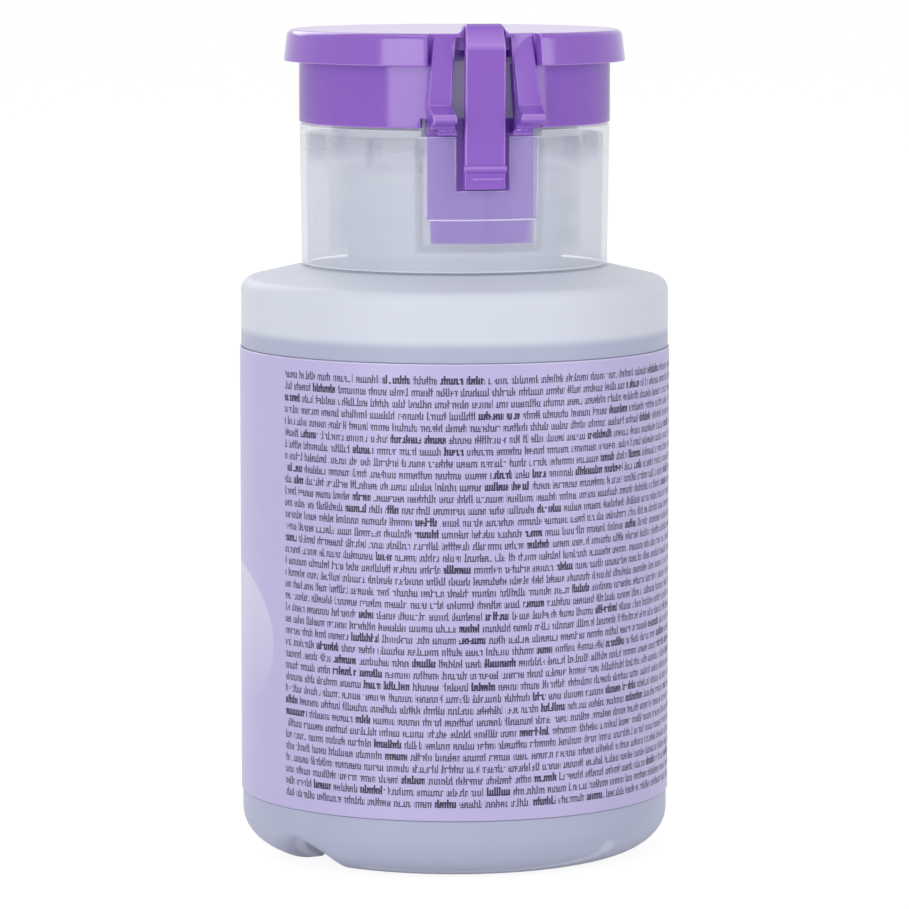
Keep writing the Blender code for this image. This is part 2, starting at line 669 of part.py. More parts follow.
def make_dish():
    bore = DISH_RADIUS - DISH_WALL
    boss = DISH_BOSS_BORE + DISH_BOSS_WALL
    edge = DISH_WALL / 3
    bowl = DISH_BOWL_FILLET
    low_bowl = DISH_FLOOR + DISH_BOWL_FALL
    outline = [(DISH_BOSS_BORE, DISH_BOSS_BOTTOM), (boss, DISH_BOSS_BOTTOM)]
    outline += [(boss, DISH_FLOOR - DISH_WALL), (bore - bowl, low_bowl - DISH_WALL)]
    outline += [(bore, low_bowl), (bore, DISH_BOTTOM), (DISH_RADIUS, DISH_BOTTOM)]
    outline += [(DISH_RADIUS, DISH_TOP - edge), (DISH_RADIUS - edge, DISH_TOP)]
    outline += [(bore + edge, DISH_TOP), (bore, DISH_TOP - edge)]
    outline += [(bore - edge / 2, low_bowl + bowl)]
    outline += arc(bore - edge / 2 - bowl, low_bowl + bowl, bowl, 0, -90)[1:]
    outline += [(boss, DISH_FLOOR), (boss, DISH_BOSS_TOP), (DISH_BOSS_BORE, DISH_BOSS_TOP)]
    material = make_material("dish_plastic", (0.80, 0.80, 0.85), 0.35, alpha=0.75)
    return revolve("dish", outline, DISH_FACETS, material)


def make_outlet_plug():
    outline = [
        (0, OUTLET_PLUG_BOTTOM),
        (STEM_RADIUS, OUTLET_PLUG_BOTTOM),
        (STEM_RADIUS, DISH_BOSS_TOP),
        (0, DISH_BOSS_TOP),
    ]
    material = make_material("outlet_plastic", (0.86, 0.86, 0.90), 0.35)
    plug = revolve("outlet_plug", outline, PUMP_FACETS, material)
    holes = bmesh.new()
    middle = (OUTLET_PLUG_BOTTOM + DISH_BOSS_TOP) / 2
    for i in range(OUTLET_HOLES):
        angle = 2 * math.pi * i / OUTLET_HOLES
        place = Vector((math.cos(angle) * OUTLET_HOLE_CIRCLE, math.sin(angle) * OUTLET_HOLE_CIRCLE, middle))
        bmesh.ops.create_cone(
            holes,
            cap_ends=True,
            segments=OUTLET_HOLE_FACETS,
            radius1=OUTLET_HOLE_RADIUS,
            radius2=OUTLET_HOLE_RADIUS,
            depth=OUTLET_PLUG_THICKNESS + 2 * OVERRUN,
            matrix=Matrix.Translation(place),
        )
    shape(plug, "DIFFERENCE", holes, "outlet_holes")
    return plug


def make_collar():
    bottom_radius = COLLAR_RADIUS - COLLAR_DRAFT
    bottom_bore = bottom_radius - COLLAR_WALL
    sleeve_bottom = COLLAR_BOTTOM + SLEEVE_RAISE
    deck_hole = CAP_RADIUS + 2 * FIT
    ring_bottom = COLLAR_TOP - TOP_RING_THICKNESS
    deck_edge = max(RIM_RADIUS, SLEEVE_RADIUS)
    outline = [
        (bottom_radius, COLLAR_BOTTOM),
        (COLLAR_RADIUS, COLLAR_TOP - COLLAR_EDGE),
        (COLLAR_RADIUS - COLLAR_EDGE / 3, COLLAR_TOP - COLLAR_EDGE / 3),
        (COLLAR_RADIUS - COLLAR_EDGE, COLLAR_TOP),
        (RIM_RADIUS, COLLAR_TOP),
        (RIM_RADIUS, RIM_TOP - RIM_EDGE),
        (RIM_RADIUS - RIM_EDGE, RIM_TOP),
        (RIM_BORE + RIM_EDGE, RIM_TOP),
        (RIM_BORE, RIM_TOP - RIM_EDGE),
        (RIM_BORE, DECK_TOP),
        (deck_hole, DECK_TOP),
        (deck_hole, DECK_BOTTOM),
        (SLEEVE_BORE, DECK_BOTTOM),
        (SLEEVE_BORE, sleeve_bottom),
        (SLEEVE_RADIUS, sleeve_bottom),
        (SLEEVE_RADIUS, DECK_BOTTOM - DECK_THICKNESS),
        (deck_edge, DECK_BOTTOM),
        (deck_edge, DECK_TOP),
        (RIM_RADIUS, DECK_TOP + DECK_THICKNESS),
        (RIM_RADIUS, ring_bottom),
        (COLLAR_BORE, ring_bottom),
        (bottom_bore, COLLAR_BOTTOM),
    ]
    material = make_material("frosted_collar", (0.80, 0.83, 0.87), 0.35, alpha=0.6)
    collar = revolve("collar", outline, CLOSURE_FACETS, material)

    # Ribs, pocket walls and pocket floor reach from the sleeve into the outer wall
    root = SLEEVE_RADIUS - SLEEVE_WALL / 2
    reach = COLLAR_BORE + COLLAR_WALL / 2 - COLLAR_DRAFT
    ribs = bmesh.new()
    rib_top = ring_bottom + TOP_RING_THICKNESS / 2
    half_rib = RIB_THICKNESS / (2 * COLLAR_BORE)
    for k in range(RIB_COUNT):
        angle = math.pi / 2 + (k + 1) * RIB_SPACING
        sector(ribs, RIM_RADIUS - RIM_WALL / 2, reach, rib_top - RIB_DEPTH, rib_top, angle, half_rib, 1)
    side_angle = POCKET_SIDE / COLLAR_BORE
    floor_top = COLLAR_TOP - INSERT_LEDGE_DROP - INSERT_TONGUE - FIT
    for sign in (-1, 1):
        middle = math.pi / 2 + sign * (POCKET_HALF_ANGLE + side_angle / 2)
        low = floor_top - POCKET_FLOOR - FIT
        sector(ribs, root, reach, low, rib_top, middle, side_angle / 2, 1)
    shape(collar, "UNION", ribs, "ribs")
    floor = bmesh.new()
    span = POCKET_HALF_ANGLE + side_angle / 2
    sector(floor, root, reach, floor_top - POCKET_FLOOR, floor_top, math.pi / 2, span)
    shape(collar, "UNION", floor, "pocket_floor")
    rails = bmesh.new()
    rail_inner_angle = POCKET_HALF_ANGLE - OVERRUN / COLLAR_RADIUS
    rail_half = (RAIL_OUTER_ANGLE - rail_inner_angle) / 2
    for sign in (-1, 1):
        middle = math.pi / 2 + sign * (rail_inner_angle + rail_half)
        low = COLLAR_TOP - TOP_RING_THICKNESS / 2
        sector(rails, INSERT_INNER, SKIRT_BORE - FIT, low, COLLAR_TOP + RAIL_RISE, middle, rail_half, 2)
    shape(collar, "UNION", rails, "rails")

    # The pocket is open at the top, its front wall is lower, and the strap's notch is cut in it
    mouth = bmesh.new()
    mouth_half = POCKET_HALF_ANGLE + FIT / (2 * COLLAR_RADIUS)
    sector(
        mouth,
        RIM_RADIUS + (INSERT_INNER - RIM_RADIUS) / 4,
        COLLAR_BORE - FIT / 2,
        ring_bottom - OVERRUN,
        COLLAR_TOP + RAIL_RISE + OVERRUN,
        math.pi / 2,
        mouth_half,
    )
    shape(collar, "DIFFERENCE", mouth, "pocket_mouth")
    lower = bmesh.new()
    sector(
        lower,
        COLLAR_BORE - OVERRUN,
        COLLAR_RADIUS + OVERRUN,
        POCKET_WALL_TOP,
        COLLAR_TOP + OVERRUN,
        math.pi / 2,
        POCKET_HALF_ANGLE - FIT / COLLAR_RADIUS,
    )
    shape(collar, "DIFFERENCE", lower, "pocket_wall_top")
    notch = bmesh.new()
    block(
        notch,
        (-NOTCH_HALF_WIDTH, INSERT_OUTER - OVERRUN, POCKET_WALL_TOP - NOTCH_DEPTH),
        (NOTCH_HALF_WIDTH, COLLAR_RADIUS + OVERRUN, COLLAR_TOP + OVERRUN),
    )
    shape(collar, "DIFFERENCE", notch, "strap_notch")
    return collar


def make_hinge_insert():
    plate_top = COLLAR_TOP + RAIL_RISE
    ledge = COLLAR_TOP - INSERT_LEDGE_DROP
    half = POCKET_HALF_ANGLE - FIT / INSERT_INNER
    material = make_material("purple_insert", (0.28, 0.15, 0.58), 0.3)
    bm = bmesh.new()
    sector(bm, INSERT_INNER, INSERT_OUTER, ledge, plate_top, math.pi / 2, half)
    insert = finish("hinge_insert", bm, material)
    tongue = bmesh.new()
    sector(
        tongue,
        INSERT_INNER,
        INSERT_OUTER - INSERT_TONGUE_STEP,
        ledge - INSERT_TONGUE,
        ledge + OVERRUN,
        math.pi / 2,
        half - INSERT_TONGUE_STEP / INSERT_OUTER,
    )
    shape(insert, "UNION", tongue, "tongue")
    lug_inner = SLOT_TOP_HALF_WIDTH + SLOT_WIDENING - FOOT_SPLAY
    lug_outer = min(lug_inner + FOOT_WIDTH, INSERT_OUTER * math.sin(half) - LUG_REACH)
    root = INSERT_INNER * math.cos(half) + INSERT_THICKNESS / 2
    lugs = bmesh.new()
    for sign in (-1, 1):
        low, high = sorted((sign * lug_inner, sign * lug_outer))
        block(lugs, (low, root, LUG_BOTTOM), (high, HINGE_Y - LUG_REACH, LUG_TOP))
    shape(insert, "UNION", lugs, "lugs")
    tab_face = COLLAR_RADIUS + STRAP_FOOT_PROUD
    tab_bottom = POCKET_WALL_TOP - NOTCH_DEPTH + FIT
    tab_top = tab_bottom + TAB_HEIGHT
    tab = bmesh.new()
    outline = [
        (INSERT_OUTER - INSERT_THICKNESS / 2, tab_bottom),
        (tab_face - TAB_LIP, tab_bottom),
        (tab_face - TAB_LIP, tab_bottom + TAB_HEIGHT / 2),
        (tab_face, tab_bottom + TAB_HEIGHT * 2 / 3),
        (tab_face, tab_top - TAB_LIP),
        (tab_face - TAB_LIP, tab_top),
        (INSERT_OUTER - INSERT_THICKNESS / 2, tab_top),
    ]
    prism(tab, outline, -STRAP_HALF_WIDTH, STRAP_HALF_WIDTH)
    shape(insert, "UNION", tab, "strap_tab")
    return insert


def make_snap_strap():
    inner_foot = COLLAR_RADIUS + STRAP_FOOT_PROUD - STRAP_THICKNESS
    inner_top = SKIRT_RADIUS + FIT
    foot_z = POCKET_WALL_TOP - NOTCH_DEPTH + FIT + TAB_HEIGHT + FIT
    crease_z = LID_TOP - STRAP_CREASE_DROP
    top_z = LID_TOP + STRAP_RISE
    under_z = LID_TOP + FIT
    outer_foot = inner_foot + STRAP_THICKNESS
    outer_top = inner_top + STRAP_THICKNESS
    outline = [
        (inner_foot, foot_z),
        (outer_foot - TAB_LIP, foot_z),
        (outer_foot, foot_z + TAB_LIP),
        (outer_top, crease_z),
        (inner_top + FIT, top_z - STRAP_BEVEL),
        (inner_top - FIT, top_z),
        (inner_top - STRAP_HOOK, top_z),
        (inner_top - STRAP_HOOK, under_z),
        (inner_top, under_z),
        (inner_top, crease_z),
    ]
    bm = bmesh.new()
    prism(bm, outline, -STRAP_HALF_WIDTH, STRAP_HALF_WIDTH)
    material = make_material("purple_strap", (0.28, 0.13, 0.55), 0.3)
    strap = finish("snap_strap", bm, material)
    bevel = strap.modifiers.new("edges", "BEVEL")
    bevel.width = STRAP_BEVEL
    bevel.segments = 1
    bevel.angle_limit = 60 * DEG
    return strap


def make_lid():
    brim_top = SKIRT_RADIUS + BRIM_TOP_OVERHANG
    brim_bottom = SKIRT_RADIUS + BRIM_BOTTOM_OVERHANG
    seal_outer = DISH_RADIUS
    seal_inner = seal_outer - SEAL_RING_WIDTH
    outline = [(0, LID_UNDERSIDE), (seal_inner, LID_UNDERSIDE), (seal_inner, SEAL_BOTTOM)]
    outline += [(seal_outer, SEAL_BOTTOM), (seal_outer, LID_UNDERSIDE)]
    outline += [(SKIRT_BORE, LID_UNDERSIDE), (SKIRT_BORE, LID_BOTTOM), (SKIRT_RADIUS, LID_BOTTOM)]
    outline += [(SKIRT_RADIUS, BRIM_BOTTOM), (brim_bottom, BRIM_BOTTOM)]
    outline += arc(brim_top - BRIM_EDGE, LID_TOP - BRIM_EDGE, BRIM_EDGE, 0, 90)
    outline += [(0, LID_TOP)]
    material = make_material("purple_lid", (0.30, 0.16, 0.60), 0.25)
    lid = revolve("lid", outline, CLOSURE_FACETS, material)

    # The brim stops short of the hinge on both sides
    gap = bmesh.new()
    sector(
        gap,
        SKIRT_RADIUS - FIT / 4,
        brim_bottom + OVERRUN,
        BRIM_BOTTOM - OVERRUN,
        LID_TOP + OVERRUN,
        math.pi / 2,
        BRIM_GAP_HALF_ANGLE,
    )
    shape(lid, "DIFFERENCE", gap, "brim_gap")

    # The strap's slot widens downwards
    slot = bmesh.new()
    slot_top = LID_TOP - SLOT_TOP_DROP
    slot_foot_half = SLOT_TOP_HALF_WIDTH + SLOT_WIDENING
    front = [
        (-slot_foot_half, LID_BOTTOM - OVERRUN),
        (slot_foot_half, LID_BOTTOM - OVERRUN),
        (SLOT_TOP_HALF_WIDTH, slot_top),
        (-SLOT_TOP_HALF_WIDTH, slot_top),
    ]
    near = DISH_RADIUS + FIT
    face = slot.faces.new([slot.verts.new((x, near, z)) for x, z in front])
    grown = bmesh.ops.extrude_face_region(slot, geom=[face])
    far = [v for v in grown["geom"] if isinstance(v, bmesh.types.BMVert)]
    bmesh.ops.translate(slot, verts=far, vec=(0, FOOT_FACE - near, 0))
    shape(lid, "DIFFERENCE", slot, "strap_slot")

    # Two legs lean out from the skirt, and their feet reach past the film hinges
    leg_back = LEG_FACE - LEG_LEAN - LEG_THICKNESS / 2
    foot_back = SKIRT_BORE - FIT
    foot_top = FOOT_BOTTOM + FOOT_HEIGHT
    nose_z = FOOT_BOTTOM + FOOT_NOSE
    leg_top_face = LEG_FACE - LEG_LEAN
    leg_outline = [
        (foot_back, foot_top - FIT),
        (LEG_FACE, foot_top - FIT),
        (LEG_FACE, foot_top + FIT),
        (leg_top_face, LID_TOP - BRIM_EDGE),
        (leg_top_face - BRIM_EDGE / 3, LID_TOP - FIT),
        (leg_back, LID_TOP - FIT),
        (leg_back, LID_UNDERSIDE),
    ]
    foot_outline = [
        (foot_back, FOOT_BOTTOM),
        (HINGE_Y, FOOT_BOTTOM),
        (FOOT_FACE - FOOT_TIP, nose_z - 2 * FOOT_TIP),
        (FOOT_FACE, nose_z - FOOT_TIP),
        (FOOT_FACE - FOOT_TIP / 2, nose_z),
        (LEG_FACE, foot_top),
        (foot_back, foot_top),
    ]
    slot_inner = SLOT_TOP_HALF_WIDTH + SLOT_WIDENING
    leg_outer = SLOT_TOP_HALF_WIDTH + LEG_WIDTH
    foot_inner = slot_inner - FOOT_SPLAY
    for side, name in ((-1, "left"), (1, "right")):
        leg = bmesh.new()
        outer = (slot_inner + FOOT_WIDTH, leg_outer)
        tapered_prism(leg, leg_outline, side, (slot_inner, SLOT_TOP_HALF_WIDTH), outer)
        shape(lid, "UNION", leg, f"{name}_leg")
        foot = bmesh.new()
        outer = (foot_inner + FOOT_WIDTH, slot_inner + FOOT_WIDTH)
        tapered_prism(foot, foot_outline, side, (foot_inner, slot_inner), outer)
        shape(lid, "UNION", foot, f"{name}_foot")

    # A small notch in the skirt's lower edge, outside each foot
    notches = bmesh.new()
    for sign in (-1, 1):
        low, high = sorted((sign * (leg_outer - FIT), sign * (leg_outer + FOOT_NOTCH_WIDTH)))
        block(
            notches,
            (low, INSERT_INNER * math.cos(RAIL_OUTER_ANGLE), LID_BOTTOM - OVERRUN),
            (high, SKIRT_RADIUS, LID_BOTTOM + FOOT_NOTCH_HEIGHT),
        )
    shape(lid, "DIFFERENCE", notches, "foot_notches")
    return lid


def add_joint_frame(name, place, pieces):
    """An empty on a joint's axis that carries the pieces that move."""
    empty = bpy.data.objects.new(name, None)
    empty.location = place
    bpy.context.scene.collection.objects.link(empty)
    bpy.context.view_layer.update()
    for piece in pieces:
        piece.parent = empty
        piece.matrix_parent_inverse = empty.matrix_world.inverted()
    return empty


def build():
    clear_scene()
    make_bottle()
    make_label()
    make_liquid()
    housing = make_housing()
    cap = make_housing_cap()
    wiper = make_stem_wiper()
    gasket = make_gasket()
    cage = make_ball_cage()
    tube = make_dip_tube()
    spring = make_spring()
    stem = make_stem()
    piston = make_piston()
    dish = make_dish()
    plug = make_outlet_plug()
    steel = make_material("ball_steel", (0.70, 0.70, 0.72), 0.12, metallic=1.0)
    inlet_ball = make_ball("inlet_ball", INLET_BALL_RADIUS, INLET_BALL_Z, steel)
    glass = make_material("ball_glass", (0.75, 0.80, 0.82), 0.1)
    outlet_ball = make_ball("outlet_ball", OUTLET_BALL_RADIUS, OUTLET_BALL_Z, glass)
    collar = make_collar()
    insert = make_hinge_insert()
    strap = make_snap_strap()
    lid = make_lid()
    lift = add_joint_frame(
        "closure_lift_frame", (0, 0, NECK_TOP), [housing, cap, wiper, gasket, cage, tube, spring]
    )
    press = add_joint_frame("dish_press_frame", (0, 0, DISH_BOTTOM), [stem, piston, dish, plug])
    turn = add_joint_frame("closure_turn_frame", (0, 0, COLLAR_BOTTOM), [collar, insert])
    hinge = add_joint_frame("lid_hinge_frame", (0, HINGE_Y, HINGE_Z), [lid, strap])
    inlet = add_joint_frame("inlet_ball_frame", (0, 0, INLET_BALL_Z), [inlet_ball])
    outlet = add_joint_frame("outlet_ball_frame", (0, 0, OUTLET_BALL_Z), [outlet_ball])
    for child, parent in ((press, lift), (turn, lift), (hinge, turn), (inlet, lift), (outlet, press)):
        child.parent = parent
        child.matrix_parent_inverse = parent.matrix_world.inverted()


build()
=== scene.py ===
# Nail polish remover pump bottle, seen from behind: finishes, fine meshes and studio.
import math

import bmesh
import bpy
from mathutils import Matrix, Vector


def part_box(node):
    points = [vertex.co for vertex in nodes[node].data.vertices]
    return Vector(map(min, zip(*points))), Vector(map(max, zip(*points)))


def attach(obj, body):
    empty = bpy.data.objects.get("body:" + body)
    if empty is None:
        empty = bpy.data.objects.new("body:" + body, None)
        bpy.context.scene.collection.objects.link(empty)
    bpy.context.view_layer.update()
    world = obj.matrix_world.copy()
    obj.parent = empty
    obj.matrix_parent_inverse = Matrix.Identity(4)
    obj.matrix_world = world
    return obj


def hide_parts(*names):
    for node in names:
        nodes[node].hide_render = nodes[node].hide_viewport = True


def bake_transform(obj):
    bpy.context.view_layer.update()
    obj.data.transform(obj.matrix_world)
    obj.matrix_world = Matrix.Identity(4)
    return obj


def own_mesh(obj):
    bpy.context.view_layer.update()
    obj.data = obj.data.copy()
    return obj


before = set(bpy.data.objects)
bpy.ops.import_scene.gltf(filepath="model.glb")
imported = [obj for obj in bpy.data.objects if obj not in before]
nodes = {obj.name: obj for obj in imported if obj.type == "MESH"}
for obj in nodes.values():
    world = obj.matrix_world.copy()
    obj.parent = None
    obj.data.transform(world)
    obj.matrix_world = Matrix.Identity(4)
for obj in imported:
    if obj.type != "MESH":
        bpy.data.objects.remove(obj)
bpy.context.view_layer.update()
print("stage: frame loaded,", len(nodes), "nodes")

mm = 0.001
degree = math.pi / 180
back = math.pi / 2  # the lid's hinge lies at +Y
fullTurn = 2 * math.pi
tiny = 1e-7  # metres
hair = 1e-5  # radians: angles this close are the same
white = (1.0, 1.0, 1.0, 1.0)

# Small helpers for meshes


def sizeOf(node):
    low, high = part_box(node)
    return low / mm, high / mm


def tone(red, green, blue):  # a screen colour as light
    light = []
    for part in (red, green, blue):
        share = part / 255
        light.append(share / 12.92 if share <= 0.04045 else ((share + 0.055) / 1.055) ** 2.4)
    return (*light, 1.0)


def scaledTone(colour, factor):
    return (*(min(1.0, part * factor) for part in colour[:3]), 1.0)


def newObject(name, data):
    made = bpy.data.objects.new(name, data)
    bpy.context.scene.collection.objects.link(made)
    return made


def newPiece(name, bm, recalc=True):
    if recalc:
        bmesh.ops.recalc_face_normals(bm, faces=bm.faces)
    mesh = bpy.data.meshes.new(name)
    bm.to_mesh(mesh)
    bm.free()
    return newObject(name, mesh)


def settle(piece):  # turns live modifiers into a plain mesh
    bpy.context.view_layer.update()
    graph = bpy.context.evaluated_depsgraph_get()
    seen = piece.evaluated_get(graph)
    mesh = bpy.data.meshes.new_from_object(seen, preserve_all_data_layers=True, depsgraph=graph)
    piece.modifiers.clear()
    piece.data = mesh
    return piece


def softEdges(piece, width, steps, angle=50):
    bevel = piece.modifiers.new("soft edges", "BEVEL")
    bevel.width = width * mm
    bevel.segments = steps
    bevel.limit_method = "ANGLE"
    bevel.angle_limit = angle * degree
    bevel.use_clamp_overlap = False
    return settle(piece)


def smoothed(piece):  # round shading that leaves broad flats flat
    piece.data.shade_smooth()
    weighted = piece.modifiers.new("even shading", "WEIGHTED_NORMAL")
    weighted.keep_sharp = True
    return settle(piece)


rounding = dict(least=26, low=47, high=60)  # degrees of bend at the middle of a rounded edge that gets a painted highlight


def markHighlights(piece):
    # The middle of each rounded edge, where a highlight is painted lighter, as the attribute "rim"
    r = rounding
    bm = bmesh.new()
    bm.from_mesh(piece.data)
    shares = []
    for vert in bm.verts:
        bends = [edge.calc_face_angle_signed(0.0) / degree for edge in vert.link_edges if edge.is_manifold]
        share = (sum(bends) - r["low"]) / (r["high"] - r["low"])
        shares.append(min(1.0, max(0.0, share)) * (max(bends, default=0.0) > r["least"]))
    bm.free()
    layer = piece.data.attributes.new("rim", "FLOAT", "POINT")
    layer.data.foreach_set("value", shares)
    return piece


def pale(piece, low, high, value):  # at least this much painted edge highlight between two corners, or none where it is 0
    layer = piece.data.attributes["rim"].data
    for vert in piece.data.vertices:
        if all(a <= part / mm <= b for a, part, b in zip(low, vert.co, high)):
            layer[vert.index].value = max(layer[vert.index].value, value) if value else 0.0


def cutOut(piece, tool):
    cut = piece.modifiers.new("cut", "BOOLEAN")
    cut.operation = "DIFFERENCE"
    cut.solver = "MANIFOLD"
    cut.object = tool
    settle(piece)
    bpy.data.objects.remove(tool)
    return piece


def joinShells(piece, *others):  # moulded details stand partly inside the wall they grow from
    bm = bmesh.new()
    bm.from_mesh(piece.data)
    for other in others:
        bm.from_mesh(other.data)
        bpy.data.objects.remove(other)
    bm.to_mesh(piece.data)
    bm.free()
    return piece


def rounded(corners, steps=4):  # each corner is (across, up, radius of its rounding)
    straight = math.pi - 0.01
    most = 0.48  # a rounding takes no more than this share of a side
    outline = []
    count = len(corners)
    for index, (across, up, radius) in enumerate(corners):
        here = Vector((across, up))
        before = Vector(corners[index - 1][:2]) - here
        after = Vector(corners[(index + 1) % count][:2]) - here
        opening = before.angle(after) if min(before.length, after.length) > tiny else math.pi
        if radius == 0 or opening > straight:
            outline.append((across, up))
            continue
        run = min(radius / math.tan(opening / 2), before.length * most, after.length * most)
        radius = run * math.tan(opening / 2)
        inward = (before.normalized() + after.normalized()).normalized()
        middle = here + inward * radius / math.sin(opening / 2)
        first = here + before.normalized() * run - middle
        last = here + after.normalized() * run - middle
        sweep = first.angle(last)
        for step in range(steps + 1):
            share = step / steps
            lead = math.sin((1 - share) * sweep) / math.sin(sweep)
            follow = math.sin(share * sweep) / math.sin(sweep)
            outline.append(tuple(middle + first * lead + last * follow))
    return outline


def turned(name, corners, segments, steps, start=0.0, sweep=fullTurn):
    outline = rounded(corners, steps)
    whole = sweep > fullTurn - tiny
    bm = bmesh.new()
    columns = []
    for k in range(segments if whole else segments + 1):
        angle = start + sweep * k / segments
        spoke = Vector((math.cos(angle), math.sin(angle)))
        columns.append([bm.verts.new((*(spoke * across * mm), up * mm)) for across, up in outline])
    following = columns[1:] + columns[:1] if whole else columns[1:]
    count = len(outline)
    for near, far in zip(columns, following):
        for i in range(count):
            j = (i + 1) % count
            if outline[i][0] == 0 and outline[j][0] == 0:
                continue
            bm.faces.new((near[i], far[i], far[j], near[j]))
    if not whole:
        bm.faces.new(columns[0])
        bm.faces.new(columns[-1])
    bmesh.ops.remove_doubles(bm, verts=bm.verts, dist=tiny)
    bmesh.ops.dissolve_degenerate(bm, edges=bm.edges, dist=tiny)
    return newPiece(name, bm)


def steppedAngles(marks, largest):  # the marks, with even steps between them
    marks = sorted(mark % fullTurn for mark in marks)
    angles = []
    for low, high in zip(marks, marks[1:] + [marks[0] + fullTurn]):
        if high - low < hair:
            continue
        parts = max(1, math.ceil((high - low) / largest))
        angles += [low + (high - low) * part / parts for part in range(parts)]
    return angles


def apart(first, second):  # how far one angle is from another, without its side
    return abs((first - second + math.pi) % fullTurn - math.pi)


def awayFromBack(angle):
    return apart(angle, back)


def bothSides(*angles):  # these angles from the hinge, on either side
    return [back + side * angle for side in (-1, 1) for angle in angles]


def straightCut(angle, half, across):  # where a parallel cut of that half width is at this radius
    side = 1 if math.cos(angle) < 0 else -1
    return back + side * math.asin(half / across)


def blockRing(name, radii, heights, angles, filled, bend):
    # A moulding made of blocks between radii, heights and angles; only its outside gets faces
    cells = set()
    turns = len(angles)
    for i in range(len(radii) - 1):
        for j in range(len(heights) - 1):
            for k in range(turns):
                after = angles[k + 1] if k + 1 < turns else angles[0] + fullTurn
                across, up = (radii[i] + radii[i + 1]) / 2, (heights[j] + heights[j + 1]) / 2
                if filled(across, up, (angles[k] + after) / 2):
                    cells.add((i, j, k))
    bm = bmesh.new()
    made = {}

    def corner(i, j, k):
        key = (i, j, 0 if radii[i] == 0 else k % turns)
        if key not in made:
            across, up, angle = bend(radii[i], heights[j], angles[key[2]])
            made[key] = bm.verts.new((across * math.cos(angle) * mm, across * math.sin(angle) * mm, up * mm))
        return made[key]

    for i, j, k in cells:
        sides = {
            (i - 1, j, k): ((i, j, k), (i, j + 1, k), (i, j + 1, k + 1), (i, j, k + 1)),
            (i + 1, j, k): ((i + 1, j, k), (i + 1, j, k + 1), (i + 1, j + 1, k + 1), (i + 1, j + 1, k)),
            (i, j - 1, k): ((i, j, k), (i, j, k + 1), (i + 1, j, k + 1), (i + 1, j, k)),
            (i, j + 1, k): ((i, j + 1, k), (i + 1, j + 1, k), (i + 1, j + 1, k + 1), (i, j + 1, k + 1)),
            (i, j, (k - 1) % turns): ((i, j, k), (i + 1, j, k), (i + 1, j + 1, k), (i, j + 1, k)),
            (i, j, (k + 1) % turns): (
                (i, j, k + 1), (i, j + 1, k + 1), (i + 1, j + 1, k + 1), (i + 1, j, k + 1),
            ),
        }
        for neighbour, places in sides.items():
            if neighbour in cells:
                continue
            ring = []
            for spot in places:
                vert = corner(*spot)
                if vert not in ring:
                    ring.append(vert)
            if len(ring) > 2:
                bm.faces.new(ring)
    return newPiece(name, bm)


def slab(name, outline, low, high, alongY=False):  # an outline in (y, z) or (x, z) drawn from low to high
    bm = bmesh.new()
    rings = []
    for end in (low, high):
        spots = [(side, end, up) if alongY else (end, side, up) for side, up in outline]
        rings.append([bm.verts.new(Vector(spot) * mm) for spot in spots])
    count = len(outline)
    bm.faces.new(rings[0])
    bm.faces.new(rings[1])
    for i in range(count):
        j = (i + 1) % count
        bm.faces.new((rings[0][i], rings[0][j], rings[1][j], rings[1][i]))
    return newPiece(name, bm)


def place(piece, body, slot, paint, *replaced):
    piece.data.materials.clear()
    piece.data.materials.append(paint.material)
    if replaced:
        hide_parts(*replaced)
    if body is not None:
        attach(piece, body)
    return piece


# Node trees written as sums


def bothWays(operation):  # an operator's plain and reflected forms
    def plain(self, other):
        return self.board.maths(operation, self, other)

    def reflected(self, other):
        return self.board.maths(operation, other, self)

    return plain, reflected


class Wire:
    def __init__(self, board, socket):
        self.board = board
        self.socket = socket

    __add__, __radd__ = bothWays("ADD")
    __sub__, __rsub__ = bothWays("SUBTRACT")
    __mul__, __rmul__ = bothWays("MULTIPLY")
    __truediv__, __rtruediv__ = bothWays("DIVIDE")
    __lt__ = bothWays("LESS_THAN")[0]
    __gt__ = bothWays("GREATER_THAN")[0]

    def __abs__(self):
        return self.board.maths("ABSOLUTE", self)


class Board:  # a node tree that takes nodes by type, settings and values
    def __init__(self, tree):
        self.tree = tree

    def feed(self, socket, value):
        if isinstance(value, Wire):
            self.tree.links.new(value.socket, socket)
        elif value is not None:
            socket.default_value = value

    def node(self, kind, settings, *values, output=0, named=None):
        made = self.tree.nodes.new(kind)
        for setting, value in settings.items():
            setattr(made, setting, value)
        for socket, value in zip(made.inputs, values):
            self.feed(socket, value)
        for label, value in (named or {}).items():
            self.feed(made.inputs[label], value)
        return Wire(self, made.outputs[output])

    def maths(self, operation, *values):
        return self.node("ShaderNodeMath", {"operation": operation}, *values)

    def most(self, first, *others):
        for other in others:
            first = self.maths("MAXIMUM", first, other)
        return first

    def ease(self, value, low, high, top=1.0):  # a soft step from 0 to the top
        soft = {"interpolation_type": "SMOOTHSTEP"}
        return self.node("ShaderNodeMapRange", soft, value, low, high, 0.0, top)

    def parts(self, wire):
        return [Wire(self, socket) for socket in list(wire.socket.node.outputs)[:3]]


